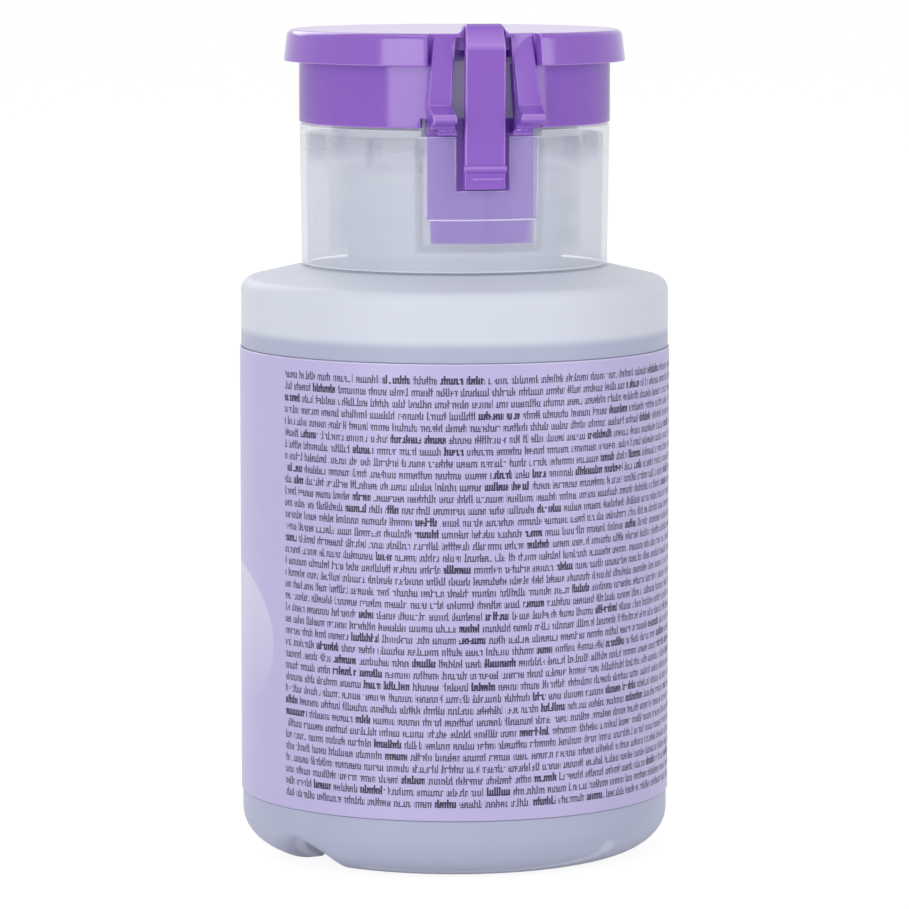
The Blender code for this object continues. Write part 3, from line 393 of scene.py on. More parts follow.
class Paint(Board):  # one material on a Principled shader
    def __init__(self, name, colour, roughness, **fixed):
        self.material = bpy.data.materials.new(name)
        self.material.use_nodes = True
        super().__init__(self.material.node_tree)
        self.shader = self.tree.nodes["Principled BSDF"]
        self.show("Base Color", colour)
        self.show("Roughness", roughness)
        for label, value in fixed.items():
            self.show(label.replace("_", " "), value)
        self.material.diffuse_color = colour

    def show(self, label, value):
        self.feed(self.shader.inputs[label], value)

    def places(self):
        return self.node("ShaderNodeTexCoord", {}, output="Object")

    def noise(self, scale, detail):
        named = {"Vector": self.places(), "Scale": scale, "Detail": detail, "Roughness": 0.5}
        return self.node("ShaderNodeTexNoise", {}, named=named)

    def mixed(self, factor, low, high):
        made = self.node("ShaderNodeMix", {"data_type": "RGBA"}, output=2)
        holder = made.socket.node
        for index, value in ((0, factor), (6, low), (7, high)):
            self.feed(holder.inputs[index], value)
        return made

    def wander(self, factor, colour, spread):  # between a little darker and a little lighter
        return self.mixed(factor, scaledTone(colour, 1 - spread), scaledTone(colour, 1 + spread))

    def dice(self, first, second, third):  # three chances for each whole-numbered place
        seed = self.node("ShaderNodeCombineXYZ", {}, first, second, third)
        chance = self.node("ShaderNodeTexWhiteNoise", {"noise_dimensions": "3D"}, seed, output="Color")
        return self.parts(self.node("ShaderNodeSeparateColor", {}, chance))

    def bump(self, height, distance):
        named = {"Height": height, "Distance": distance, "Strength": 1.0}
        self.show("Normal", self.node("ShaderNodeBump", {}, named=named))

    # the share of painted edge highlight, from the attribute "rim"
    def rim(self):
        return self.node("ShaderNodeAttribute", {"attribute_name": "rim"}, output="Fac")

    def axes(self, where=None):
        return self.parts(self.node("ShaderNodeSeparateXYZ", {}, where or self.places()))


# Boxes of the main solids, in millimetres

bottleHigh = sizeOf("bottle")[1]
labelLow, labelHigh = sizeOf("wrap_label")
collarLow, collarHigh = sizeOf("collar")
lidLow, lidHigh = sizeOf("lid")

# Finishes


def mouldedPlastic(name, colour, roughness, look, highlightTone=None, **fixed):
    # A moulded surface: slow changes of colour, a faint grain and painted highlights on rounded edges
    paint = Paint(name, colour, roughness, **fixed)
    cloud = paint.noise(look["cloud"], 3.0)
    body = paint.wander(cloud, colour, look["spread"])
    if highlightTone is not None:
        body = paint.mixed(paint.rim() * look["highlightShare"], body, highlightTone)
    paint.show("Base Color", body)
    grain = paint.noise(look["grain"], 2.0)
    paint.show("Roughness", roughness - look["sheen"] / 2 + grain * look["sheen"])
    paint.bump(grain + cloud * look["sink"], look["depth"])
    return paint


plastic = dict(
    purple=tone(128, 85, 178),
    # purpleGlow is painted light: an emission that lifts the purple plastic out of its shade
    purpleGlow=tone(60, 14, 125),
    purpleGlowLevel=0.16,
    purpleRoughness=0.13,
    frosted=tone(206, 211, 222),
    wetTint=tone(171, 175, 199),
    wetSpread=0.03,
    drySpread=0.015,
    wobble=70.0,
    liquidLevel=73.5,
    wetAbove=0.9,
    wetBelow=0.5,
    frostedRoughness=0.42,
    bottleCover=0.84,
    bottleGloss=0.28,
    collarTint=tone(216, 220, 232),
    collarShade=tone(196, 199, 212),
    plateTint=tone(166, 142, 212),
    platePale=tone(182, 170, 220),
    collarCover=0.36,
    deckCover=0.30,
    plateCover=0.36,
    ribCover=0.55,
    highlightCover=0.75,
    # painted light: an emission that brightens the frosted plastics
    paintedGlow=0.06,
    sheen=dict(Sheen_Weight=0.12, Sheen_Roughness=0.35),
    natural=tone(214, 210, 224),
    # naturalGlow is painted light: an emission that lifts the natural plastic out of its shade
    naturalGlow=tone(200, 180, 235),
    naturalGlowLevel=0.09,
    naturalRoughness=0.35,
    pump=tone(232, 232, 234),
    pumpRoughness=0.4,
    # the colour of the painted highlights on the purple plastic's rounded edges
    purpleHighlight=tone(206, 170, 232),
    smoothLook=dict(
        highlightShare=0.32, cloud=60.0, spread=0.025, grain=2400.0, sheen=0.06, sink=6.0, depth=0.000006,
    ),
    frostLook=dict(cloud=45.0, spread=0.012, grain=3200.0, sheen=0.05, sink=4.0, depth=0.000010),
    pumpLook=dict(cloud=180.0, spread=0.02, grain=2600.0, sheen=0.05, sink=2.0, depth=0.000008),
)

purplePlastic = mouldedPlastic(
    "purplePlastic", plastic["purple"], plastic["purpleRoughness"], plastic["smoothLook"],
    plastic["purpleHighlight"], Emission_Color=plastic["purpleGlow"], Emission_Strength=plastic["purpleGlowLevel"],
)
frostedBottle = mouldedPlastic(
    "frostedBottle", plastic["frosted"], plastic["frostedRoughness"], plastic["frostLook"],
    Alpha=plastic["bottleCover"], Emission_Color=plastic["frosted"], Emission_Strength=plastic["paintedGlow"],
    Specular_IOR_Level=plastic["bottleGloss"], **plastic["sheen"],
)
frostedCollar = mouldedPlastic(
    "frostedCollar", plastic["collarTint"], plastic["frostedRoughness"], plastic["frostLook"],
    Emission_Color=plastic["collarTint"], Emission_Strength=plastic["paintedGlow"], **plastic["sheen"],
)


def darkenBelowLevel():  # the wall looks wet up to the liquid's level
    paint, look = frostedBottle, plastic
    up = paint.axes()[2] / mm
    wet = paint.ease(up, look["liquidLevel"] + look["wetAbove"], look["liquidLevel"] - look["wetBelow"])
    wobble = paint.noise(look["wobble"], 3.0)
    dryTint = paint.wander(wobble, look["frosted"], look["drySpread"])
    wetTint = paint.wander(wobble, look["wetTint"], look["wetSpread"])
    paint.show("Base Color", paint.mixed(wet, dryTint, wetTint))


# On the collar: angles from the hinge, heights, and distances from the axis
tint = dict(
    plateHalf=20.8, tongueStep=1.2, plateLow=86.8, pocketTop=101.9, wallInside=20.3,
    # painted highlight lines at the ledge, beside the plate and at the foot; painted shade above the deck
    ledge=90.1, ledgeHighlightHalf=0.075, ledgeHighlightEnd=20.3, sideEnd=21.4, sideLow=90.6,
    shadeLow=97.2, shadeHigh=100.6, shadeTop=101.2, footHighlightHeight=0.22,
    ribInside=18.4, ribOutside=20.5, ribLow=97.55, ribHigh=101.05,
    streaks=0.55, paintedHighlight=tone(250, 250, 252), highlightShare=0.8, sideHighlightShare=0.22, footShare=0.4, paintedHighlightShare=0.8,
)


def tintCollar():
    # The wall takes up the colour of the insert behind it, looks thinner above the deck and is painted darker
    # there (painted shade), and has painted highlights along its rims, the ledge, the pocket's sides and its
    # foot
    paint, look, k = frostedCollar, plastic, tint
    x, y, z = paint.axes()
    height = z / mm
    reach = paint.maths("SQRT", x * x + y * y) / mm
    aside = abs(paint.maths("ARCTAN2", x, y)) / degree
    halfPlate = k["plateHalf"] - (height < k["ledge"]) * k["tongueStep"]
    onWall = (height < k["pocketTop"]) * (reach > k["wallInside"])
    overPlate = (aside < halfPlate) * (height > k["plateLow"]) * onWall
    # painted highlights beside the plate, over the pocket's sides
    sideHighlight = (aside > k["plateHalf"]) * (aside < k["sideEnd"]) * (height > k["sideLow"]) * onWall
    # a painted highlight line along the insert's ledge
    ledge = overPlate * (abs(height - k["ledge"]) < k["ledgeHighlightHalf"]) * (aside < k["ledgeHighlightEnd"])
    # painted shade, darkest near the top of the wall
    aboveDeck = paint.ease(height, k["shadeLow"], k["shadeHigh"]) * (height < k["shadeTop"])
    # a painted highlight along the collar's foot
    foot = height < collarLow.z + k["footHighlightHeight"]
    onRib = (reach > k["ribInside"]) * (reach < k["ribOutside"])
    onRib = onRib * (height > k["ribLow"]) * (height < k["ribHigh"])
    streak = {"W": x / mm, "Scale": k["streaks"]}
    streak = paint.node("ShaderNodeTexNoise", {"noise_dimensions": "1D"}, named=streak)
    body = paint.mixed(aboveDeck, look["collarTint"], look["collarShade"])
    body = paint.mixed(overPlate, body, paint.mixed(streak, look["plateTint"], look["platePale"]))
    highlightLines = paint.most(paint.rim() * k["highlightShare"], ledge * k["highlightShare"])
    paintedHighlight = paint.most(highlightLines, sideHighlight * k["sideHighlightShare"], foot * k["footShare"])
    paint.show("Base Color", paint.mixed(paintedHighlight * k["paintedHighlightShare"], body, k["paintedHighlight"]))
    cover = look["collarCover"] + aboveDeck * (look["deckCover"] - look["collarCover"])
    for mask, there in ((overPlate, "plateCover"), (onRib, "ribCover"), (paintedHighlight, "highlightCover")):
        cover = cover + mask * (look[there] - cover)
    paint.show("Alpha", cover)


darkenBelowLevel()
tintCollar()
naturalPlastic = mouldedPlastic(
    "naturalPlastic", plastic["natural"], plastic["naturalRoughness"], plastic["pumpLook"],
    Emission_Color=plastic["naturalGlow"], Emission_Strength=plastic["naturalGlowLevel"],
)
whitePlastic = mouldedPlastic("whitePlastic", plastic["pump"], plastic["pumpRoughness"], plastic["pumpLook"])


# Each as (darker, lighter, roughness, grain, detail, how uneven the roughness is)
steelTones = (0.56, 0.56, 0.58, 1.0), (0.68, 0.68, 0.70, 1.0)
speckles = dict(
    remover=(tone(192, 186, 219), tone(200, 194, 225), 0.05, 30.0, 2.0, 0.0),
    springSteel=(*steelTones, 0.28, 1500.0, 3.0, 0.6),
    ballSteel=(*steelTones, 0.12, 900.0, 3.0, 0.6),
    ballGlass=((0.82, 0.88, 0.90, 1.0), (0.90, 0.94, 0.95, 1.0), 0.04, 1400.0, 1.0, 0.0),
)


def speckled(name, **fixed):
    low, high, roughness, grain, detail, uneven = speckles[name]
    paint = Paint(name, high, roughness, **fixed)
    speck = paint.noise(grain, detail)
    paint.show("Base Color", paint.mixed(speck, low, high))
    if uneven:
        paint.show("Roughness", roughness * (1 - uneven / 2) + speck * (roughness * uneven))
    return paint


removerPaint = speckled("remover", Alpha=0.3, IOR=1.33)
springSteel = speckled("springSteel", Metallic=1.0)
ballSteel = speckled("ballSteel", Metallic=1.0)
ballGlass = speckled("ballGlass", Transmission_Weight=0.9, IOR=1.5)

foam = dict(
    dark=(0.78, 0.78, 0.78, 1.0), light=(0.90, 0.90, 0.90, 1.0), roughness=0.85, cells=2600.0, depth=0.00006,
)
rubber = dict(colour=(0.03, 0.03, 0.035, 1.0), roughness=0.5, uneven=0.2, grain=1800.0, depth=0.00002)


def makeFoamPaint():
    paint = Paint("gasketFoam", foam["light"], foam["roughness"])
    cells = paint.node("ShaderNodeTexVoronoi", {}, named={"Vector": paint.places(), "Scale": foam["cells"]})
    paint.show("Base Color", paint.mixed(cells, foam["dark"], foam["light"]))
    paint.bump(cells, foam["depth"])
    return paint


def makeRubberPaint():
    paint = Paint("wiperRubber", rubber["colour"], rubber["roughness"])
    skin = paint.noise(rubber["grain"], 3.0)
    paint.show("Roughness", rubber["roughness"] + skin * rubber["uneven"])
    paint.bump(skin, rubber["depth"])
    return paint


print("stage: finishes made")

# Bottle: shell with shoulder, neck, recessed panel and heel notch

bottle = dict(
    radius=bottleHigh.x, neckTop=bottleHigh.z, shoulderTop=82.5, shoulderEdge=80.6, facets=224,
    wall=1.2, heelRun=7.4, heelRise=5.7, heelSteps=12, innerHeel=5.0, pushUp=1.6, standing=1.6, floor=2.6,
    panelGap=0.03, panelStep=0.1, panelDepth=0.28,
    neck=15.0, neckBore=13.4, neckFoot=1.2, land=21.7,
    notchAngle=30.6, notchWidth=9.8, notchLift=3.3, notchReach=5.6,
    notchBlunt=0.06, notchPeak=0.755, notchEase=1.2, wallSlack=0.2, floorSlack=0.05,
    # Roundings, from the middle of the base round the outside to the inside
    domeRound=1.2, standRound=0.5, panelRound=0.08, shoulderRound=1.9, landRound=0.8, mouthRound=0.3,
    throatRound=1.6, underLandRound=0.6, underShoulderRound=2.2, roundSteps=8,
)


def dentHeel(piece):  # lifts the heel at one place, outside and inside
    b = bottle
    stand = b["radius"] - b["heelRun"]
    inside = b["radius"] - b["wall"] - b["wallSlack"]
    half = b["notchWidth"] / 2 / stand
    for vert in piece.data.vertices:
        across = vert.co.to_2d().length / mm
        up = vert.co.z / mm
        angle = math.atan2(vert.co.y, vert.co.x) - b["notchAngle"] * degree
        if across < inside and up > b["floor"] - b["floorSlack"]:
            up -= b["floor"]
        if abs(angle) > half or up > b["notchReach"] or across < stand - b["standing"] - b["pushUp"]:
            continue
        blunt = b["notchBlunt"]
        side = 1 - math.sqrt((angle / half) ** 2 * (1 - blunt) + blunt)
        share = max(0.0, side) / b["notchPeak"]
        vert.co.z += b["notchLift"] * share * (1 - up / b["notchReach"]) ** b["notchEase"] * mm
    return piece


def makeBottle():
    b = bottle
    stand = b["radius"] - b["heelRun"]
    panel = b["radius"] - b["panelDepth"]
    bore = b["radius"] - b["wall"]
    heel = []
    for step in range(b["heelSteps"] + 1):
        lean = step / b["heelSteps"] * math.pi / 2
        heel.append((stand + b["heelRun"] * math.sin(lean), b["heelRise"] * (1 - math.cos(lean)), 0))
    corners = [
        (0, b["pushUp"], 0),
        (stand - b["standing"] - b["pushUp"], b["pushUp"], b["domeRound"]),
        (stand - b["standing"], 0, b["standRound"]),
        *heel,
        (b["radius"], labelLow.z - b["panelGap"] - b["panelStep"], b["panelRound"]),
        (panel, labelLow.z - b["panelGap"], 0),
        (panel, labelHigh.z + b["panelGap"], 0),
        (b["radius"], labelHigh.z + b["panelGap"] + b["panelStep"], b["panelRound"]),
        (b["radius"], b["shoulderEdge"], b["shoulderRound"]),
        (b["land"], b["shoulderTop"], b["landRound"]),
        (b["neck"], b["shoulderTop"], b["neckFoot"]),
        (b["neck"], b["neckTop"], b["mouthRound"]),
        (b["neckBore"], b["neckTop"], b["mouthRound"]),
        (b["neckBore"], b["shoulderTop"] - b["wall"], b["throatRound"]),
        (b["land"], b["shoulderTop"] - b["wall"], b["underLandRound"]),
        (bore, b["shoulderEdge"] - b["wall"], b["underShoulderRound"]),
        (bore, b["floor"], b["innerHeel"]),
        (0, b["floor"], 0),
    ]
    return smoothed(dentHeel(turned("bottleShell", corners, b["facets"], b["roundSteps"])))


place(makeBottle(), "bottle", "frosted_bottle", frostedBottle, "bottle")
print("stage: bottle")

# Liquid with its meniscus

liquid = dict(
    level=plastic["liquidLevel"], wall=28.78, floor=2.62, heel=5.0, climb=0.5,
    channel=7.0, socket=4.2, socketTall=5.5, tube=2.9, clear=0.6,
    climbRun=2.5, wallRound=0.1, surfaceRound=1.2, turnRound=0.3, roundSteps=5,
)


def makeLiquid():
    q = liquid
    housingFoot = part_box("pump_housing")[0].z / mm - q["clear"]
    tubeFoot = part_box("dip_tube")[0].z / mm - q["clear"]
    socketTop = housingFoot + q["socketTall"]
    corners = [
        (0, q["floor"], 0),
        (q["wall"], q["floor"], q["heel"]),
        (q["wall"], q["level"] + q["climb"], q["wallRound"]),
        (q["wall"] - q["climb"] * q["climbRun"], q["level"], q["surfaceRound"]),
        (q["channel"], q["level"], q["turnRound"]),
        (q["channel"], socketTop, q["turnRound"]),
        (q["socket"], socketTop, q["turnRound"]),
        (q["socket"], housingFoot, q["turnRound"]),
        (q["tube"], housingFoot, q["turnRound"]),
        (q["tube"], tubeFoot, q["turnRound"]),
        (0, tubeFoot, 0),
    ]
    return smoothed(dentHeel(turned("liquidBody", corners, bottle["facets"], q["roundSteps"])))


place(makeLiquid(), "bottle", "remover", removerPaint, "remover_liquid")
print("stage: liquid")

# Wrap label with rows of small strokes and pale pebbles

label = dict(
    low=labelLow.z, high=labelHigh.z, inner=29.94, outer=30.2, seamAngle=-34.8, seamGap=0.35,
    facets=240, innerRound=0.05, outerRound=0.08, roundSteps=3,
    paper=tone(177, 169, 209), pale=tone(198, 197, 220), ink=tone(46, 37, 68), paintedEdgeHighlight=tone(200, 195, 226),
    highlightBand=0.16, edgeHighlightShare=0.8, clouds=22.0, paperSpread=0.015, pebbleEdge=0.93,
    roughness=0.33, film=900.0, filmRough=0.06, filmDepth=0.000008, inkRough=0.08,
    # Rows start at these degrees from the seam and stand this far below the label's top
    start=63.7, end=238.0, firstRow=1.12, rows=37, rowPitch=1.612, rowShift=53.7,
    group=3.6, groupSpread=0.9, gap=0.20,
    # Upright strokes; chances are shares of all, and the heavy groups are this much larger
    strokePitch=0.335, stroke=0.192, strokeTall=0.80, strokeShare=0.92, heavyShare=0.13,
    riserShare=0.20, riser=0.34, dropShare=0.08, drop=0.30, heavyTall=0.06, heavyStroke=0.07,
    bar=0.17, heavyBar=0.05, topShare=0.42, footShare=0.42, middleShare=0.22, middle=0.55, inkShare=0.90,
    # Pebbles as (degrees from the seam, height, half width, half height, how pale)
    pebbles=(
        (31, 31.0, 14.6, 10.2, 1.0), (12, 17.0, 9.0, 6.5, 0.7), (350, 33.0, 13.0, 11.0, 1.0),
        (318, 20.0, 15.0, 8.0, 0.8), (300, 46.0, 17.0, 12.0, 1.0), (264, 26.0, 12.0, 14.0, 0.7),
        (334, 58.0, 9.0, 6.0, 0.6), (22, 49.0, 7.0, 5.0, 0.45),
    ),
)


def makeLabel():
    g = label
    half = math.pi - g["seamGap"] / (2 * g["outer"])
    start = g["seamAngle"] * degree + math.pi - half
    corners = [
        (g["inner"], g["low"], g["innerRound"]), (g["outer"], g["low"], g["outerRound"]),
        (g["outer"], g["high"], g["outerRound"]), (g["inner"], g["high"], g["innerRound"]),
    ]
    return smoothed(turned("printedWrap", corners, g["facets"], g["roundSteps"], start, 2 * half))


def layPebbles(paint, around, up, face):
    g = label
    for angle, height, width, tall, strength in g["pebbles"]:
        away = abs(around - angle)
        away = paint.maths("MINIMUM", away, 360 - away) * (g["outer"] * degree) / width
        rise = (up - height) / tall
        edge = paint.ease(away * away + rise * rise, 1.0, g["pebbleEdge"], strength)
        face = paint.mixed(edge, face, paint.mixed(rise * 0.5 + 0.5, g["paper"], g["pale"]))
    return face


def strokeRows(paint, around, up):  # where the ink is, and which groups are heavy
    g = label
    drop = (g["high"] - g["firstRow"]) - up
    row = paint.maths("FLOOR", drop / g["rowPitch"] + 1.0)
    line = paint.maths("FRACT", drop / g["rowPitch"] + 1.0)
    height = (1.0 - line) * g["rowPitch"]  # above the row's foot
    shifted = around * (g["outer"] * degree) + row * g["rowShift"]
    along = shifted / g["strokePitch"]
    nearest = paint.maths("ROUND", along)
    chance = paint.dice(nearest, row, 0.0)
    joins = paint.dice(paint.maths("FLOOR", along), row, 5.0)
    spread = {"W": shifted, "Scale": 1.0 / g["group"], "Randomness": g["groupSpread"]}
    toGap = {"voronoi_dimensions": "1D", "feature": "DISTANCE_TO_EDGE"}
    toGap = paint.node("ShaderNodeTexVoronoi", toGap, named=spread) * g["group"]
    group = paint.node("ShaderNodeTexVoronoi", {"voronoi_dimensions": "1D"}, output="W", named=spread)
    heavy = paint.node("ShaderNodeTexWhiteNoise", {"noise_dimensions": "1D"}, named={"W": group})
    heavy = heavy < g["heavyShare"]
    highest = g["strokeTall"] + (chance[0] > 1 - g["riserShare"]) * g["riser"] + heavy * g["heavyTall"]
    lowest = 0.0 - (chance[0] < g["dropShare"]) * g["drop"]
    inStroke = abs(along - nearest) * g["strokePitch"] < (g["stroke"] + heavy * g["heavyStroke"]) / 2
    uprights = inStroke * (chance[1] < g["strokeShare"]) * (height < highest) * (height > lowest)
    bar = g["bar"] + heavy * g["heavyBar"]
    top = (joins[0] < g["topShare"]) * (height < g["strokeTall"]) * (height > g["strokeTall"] - bar)
    foot = (joins[0] > 1 - g["footShare"]) * (height < bar) * (height > 0.0)
    middle = (joins[1] < g["middleShare"]) * (abs(height - g["strokeTall"] * g["middle"]) < bar / 2)
    marks = paint.most(uprights, top, foot, middle) * (toGap > g["gap"])
    marks = marks * (row > 0.5) * (row < g["rows"] + 0.5)
    return marks * (around > g["start"]) * (around < g["end"]), heavy


def makeLabelPaint():
    g = label
    paint = Paint("lilacLabel", g["paper"], g["roughness"])
    turn = math.pi - g["seamAngle"] * degree
    spun = paint.node("ShaderNodeMapping", {}, paint.places(), None, (0, 0, turn))
    x, y, z = paint.axes(spun)
    around = (paint.maths("ARCTAN2", y, x) + math.pi) / degree  # degrees from the seam
    up = z / mm
    face = paint.wander(paint.noise(g["clouds"], 2.0), g["paper"], g["paperSpread"])
    face = layPebbles(paint, around, up, face)
    # a painted highlight along the label's top edge, over the shade of the panel's step
    face = paint.mixed((up > g["high"] - g["highlightBand"]) * g["edgeHighlightShare"], face, g["paintedEdgeHighlight"])
    marks, heavy = strokeRows(paint, around, up)
    strength = marks * (g["inkShare"] + heavy * (1 - g["inkShare"]))
    paint.show("Base Color", paint.mixed(strength, face, g["ink"]))
    film = paint.noise(g["film"], 2.0)
    paint.show("Roughness", g["roughness"] + film * g["filmRough"] + marks * g["inkRough"])
    paint.bump(film, g["filmDepth"])
    return paint


place(makeLabel(), "bottle", "lilac_label", makeLabelPaint(), "wrap_label")
print("stage: label")

# Rods that follow a helix: the return spring and the screw threads

thread = dict(
    pitch=4.2, neckFoot=86.9, neckTurns=1.35, sleeveLag=0.5, sleeveTurns=1.25, sleeveStart=0.28,
    ridge=0.92, neckLine=15.05, sleeveLine=16.45, taper=0.06, sides=14, stepsPerTurn=72,
)
spring = dict(pressed=0.56, line=4.2, wire=0.4, turns=6, closed=1.1, sides=14, stepsPerTurn=60)


def helixTree():
    tree = bpy.data.node_groups.new("helixRod", "GeometryNodeTree")
    tree.is_modifier = True
    tree.interface.new_socket("Geometry", in_out="OUTPUT", socket_type="NodeSocketGeometry")
    tree.interface.new_socket("Geometry", in_out="INPUT", socket_type="NodeSocketGeometry")
    kinds = {
        "Radius": "Float", "Foot": "Float", "Rise": "Float", "Closed": "Float", "Turns": "Float",
        "Start": "Float", "Wire": "Float", "Taper": "Float", "Steps": "Int", "Sides": "Int",
        "Paint": "Material",
    }
    for label, kind in kinds.items():
        tree.interface.new_socket(label, in_out="INPUT", socket_type=f"NodeSocket{kind}")
    board = Board(tree)
    entry = tree.nodes.new("NodeGroupInput")
    given = {label: Wire(board, entry.outputs[label]) for label in kinds}
    line = board.node("GeometryNodeCurvePrimitiveLine", {}, (0, 0, 0), (0, 0, 1))
    count = board.maths("MULTIPLY", given["Turns"], given["Steps"])
    line = board.node("GeometryNodeResampleCurve", {}, named={"Curve": line, "Count": count})
    along = board.node("GeometryNodeSplineParameter", {})
    angle = given["Start"] + along * given["Turns"] * fullTurn
    east = board.maths("COSINE", angle) * given["Radius"]
    north = board.maths("SINE", angle) * given["Radius"]
    turn = along * given["Turns"]
    first = board.maths("MINIMUM", turn, 1.0) * given["Closed"]
    last = board.maths("MAXIMUM", turn - given["Turns"] + 1.0, 0.0) * given["Closed"]
    middle = board.maths("MINIMUM", board.maths("MAXIMUM", turn - 1.0, 0.0), given["Turns"] - 2.0)
    openRise = given["Rise"] - given["Closed"] * 2.0
    climb = first + last + middle / (given["Turns"] - 2.0) * openRise
    even = along * given["Rise"]
    isSpring = given["Closed"] > 0.0
    height = given["Foot"] + climb * isSpring + even * (1.0 - isSpring)
    spot = board.node("ShaderNodeCombineXYZ", {}, east, north, height)
    line = board.node("GeometryNodeSetPosition", {}, named={"Geometry": line, "Position": spot})
    ends = board.maths("MINIMUM", along, 1.0 - along) / (given["Taper"] + tiny)
    tip = 0.02  # how thick a tapered end still is
    thin = board.maths("MINIMUM", board.maths("MAXIMUM", ends, tip), 1.0)
    line = board.node("GeometryNodeSetCurveRadius", {}, named={"Curve": line, "Radius": thin})
    ring = board.node("GeometryNodeCurvePrimitiveCircle", {}, given["Sides"], named={"Radius": given["Wire"]})
    rod = board.node("GeometryNodeCurveToMesh", {}, line, ring, named={"Fill Caps": True})
    rod = board.node("GeometryNodeSetShadeSmooth", {}, rod)
    rod = board.node("GeometryNodeRealizeInstances", {}, rod)
    rod = board.node("GeometryNodeSetMaterial", {}, rod, named={"Material": given["Paint"]})
    leave = tree.nodes.new("NodeGroupOutput")
    tree.links.new(rod.socket, leave.inputs[0])
    return tree


helixRods = helixTree()


def helixRod(name, paint, **values):
    piece = newPiece(name, bmesh.new())
    modifier = piece.modifiers.new("helix", "NODES")
    modifier.node_group = helixRods
    values["Paint"] = paint.material
    for item in helixRods.interface.items_tree:
        if item.in_out == "INPUT" and item.name in values:
            modifier[item.identifier] = values[item.name]
    return settle(piece)


def makeThread(name, paint, line, foot, turns, start):
    return helixRod(
        name, paint, Radius=line * mm, Foot=foot * mm, Rise=turns * thread["pitch"] * mm, Closed=0.0,
        Turns=turns, Start=start, Wire=thread["ridge"] * mm, Taper=thread["taper"],
        Steps=thread["stepsPerTurn"], Sides=thread["sides"],
    )


neckThread = makeThread(
    "neckThread", frostedBottle, thread["neckLine"], thread["neckFoot"], thread["neckTurns"], 0.0,
)
place(neckThread, "bottle", "frosted_bottle", frostedBottle)
sleeveFoot = thread["neckFoot"] + (thread["sleeveStart"] - thread["sleeveLag"]) * thread["pitch"]
sleeveThread = makeThread(
    "sleeveThread", frostedCollar, thread["sleeveLine"], sleeveFoot,
    thread["sleeveTurns"], thread["sleeveStart"] * fullTurn,
)
place(sleeveThread, "closure", "frosted_collar", frostedCollar)

springLow, springHigh = sizeOf("return_spring")
coil = helixRod(
    "springCoil", springSteel, Radius=spring["line"] * mm, Foot=(springLow.z + spring["wire"]) * mm,
    Rise=(springHigh.z - springLow.z - 2 * spring["wire"]) * mm, Closed=spring["closed"] * mm,
    Turns=float(spring["turns"]), Start=0.0, Wire=spring["wire"] * mm, Taper=0.0,
    Steps=spring["stepsPerTurn"], Sides=spring["sides"],
)
place(coil, "pump", "spring_steel", springSteel, "return_spring")
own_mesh(coil)
print("stage: threads and spring")

# Collar: outer wall, sleeve, deck, rim, ribs and the hinge's pocket

mostStep = 2.4 * degree  # the widest facet of a ring of blocks
collar = dict(
    low=collarLow.z, top=102.3, rimTop=collarHigh.z, radius=collarHigh.x, bore=20.85, draft=0.25,
    sleeveLow=84.55, sleeveBore=16.4, sleeve=17.6, deckLow=96.3, deckTop=97.5, deckHole=8.4,
    rimBore=17.15, rim=18.3, ringLow=101.1,
    ribLow=97.1, ribWidth=1.0, ribSpacing=45,
    pocketAngle=22.8, pocketSide=1.1, pocketLow=85.6, pocketFloor=86.6, wallTop=101.5,
    notchHalf=3.7, notchLow=94.1,
    insertInner=18.65, railOuter=20.2, railAngle=27.2, railTop=103.9, edge=0.16,
)


def makeCollar():
    c = collar
    pocket = c["pocketAngle"] * degree
    pocketWall = pocket + c["pocketSide"] / c["bore"]
    rail = c["railAngle"] * degree
    notch = math.asin(c["notchHalf"] / c["radius"])
    halfRib = c["ribWidth"] / 2 / c["bore"]
    ribs = [back + k * c["ribSpacing"] * degree for k in range(1, 360 // c["ribSpacing"])]
    marks = bothSides(pocket, pocketWall, rail, notch)
    marks += [rib + side * halfRib for rib in ribs for side in (-1, 1)]
    angles = steppedAngles(marks, mostStep)
    radii = [
        c["deckHole"], c["sleeveBore"], c["rimBore"], c["sleeve"], c["rim"], c["insertInner"],
        c["railOuter"], c["bore"], c["radius"],
    ]
    heights = [
        c["low"], c["sleeveLow"], c["pocketLow"], c["pocketFloor"], c["notchLow"], c["deckLow"], c["ribLow"],
        c["deckTop"], c["ringLow"], c["wallTop"], c["top"], c["railTop"], c["rimTop"],
    ]

    def filled(across, up, angle):
        away = awayFromBack(angle)
        inPocket = away < pocket
        if across > c["bore"]:
            top = c["wallTop"] if inPocket else c["top"]
            if away < notch and up > c["notchLow"]:
                return False
            return up < top
        if up > c["top"]:
            isRail = c["insertInner"] < across < c["railOuter"] and pocket < away < rail and up < c["railTop"]
            return c["rimBore"] < across < c["rim"] or isRail
        if up > c["ringLow"] and across > c["rim"]:
            return not inPocket
        if up > c["deckTop"] and c["rimBore"] < across < c["rim"]:
            return True
        if c["deckLow"] < up < c["deckTop"] and across < c["rim"]:
            return True
        if c["sleeveLow"] < up < c["deckLow"] and c["sleeveBore"] < across < c["sleeve"]:
            return True
        outside = across > (c["rim"] if up > c["deckLow"] else c["sleeve"])
        if outside and pocket < away < pocketWall and up > c["pocketLow"]:
            return True
        if outside and away < pocketWall and c["pocketLow"] < up < c["pocketFloor"]:
            return True
        if across > c["rim"] and up > c["ribLow"]:
            return any(apart(angle, rib) < halfRib for rib in ribs)
        return False

    def bend(across, up, angle):
        if abs(awayFromBack(angle) - notch) < hair and across > c["railOuter"]:
            angle = straightCut(angle, c["notchHalf"], across)
        if across >= c["bore"] and up < c["top"]:
            across -= c["draft"] * (c["top"] - up) / (c["top"] - c["low"])
        return across, up, angle

    piece = blockRing("frostedCollar", radii, heights, angles, filled, bend)
    return smoothed(markHighlights(softEdges(piece, c["edge"], 2)))


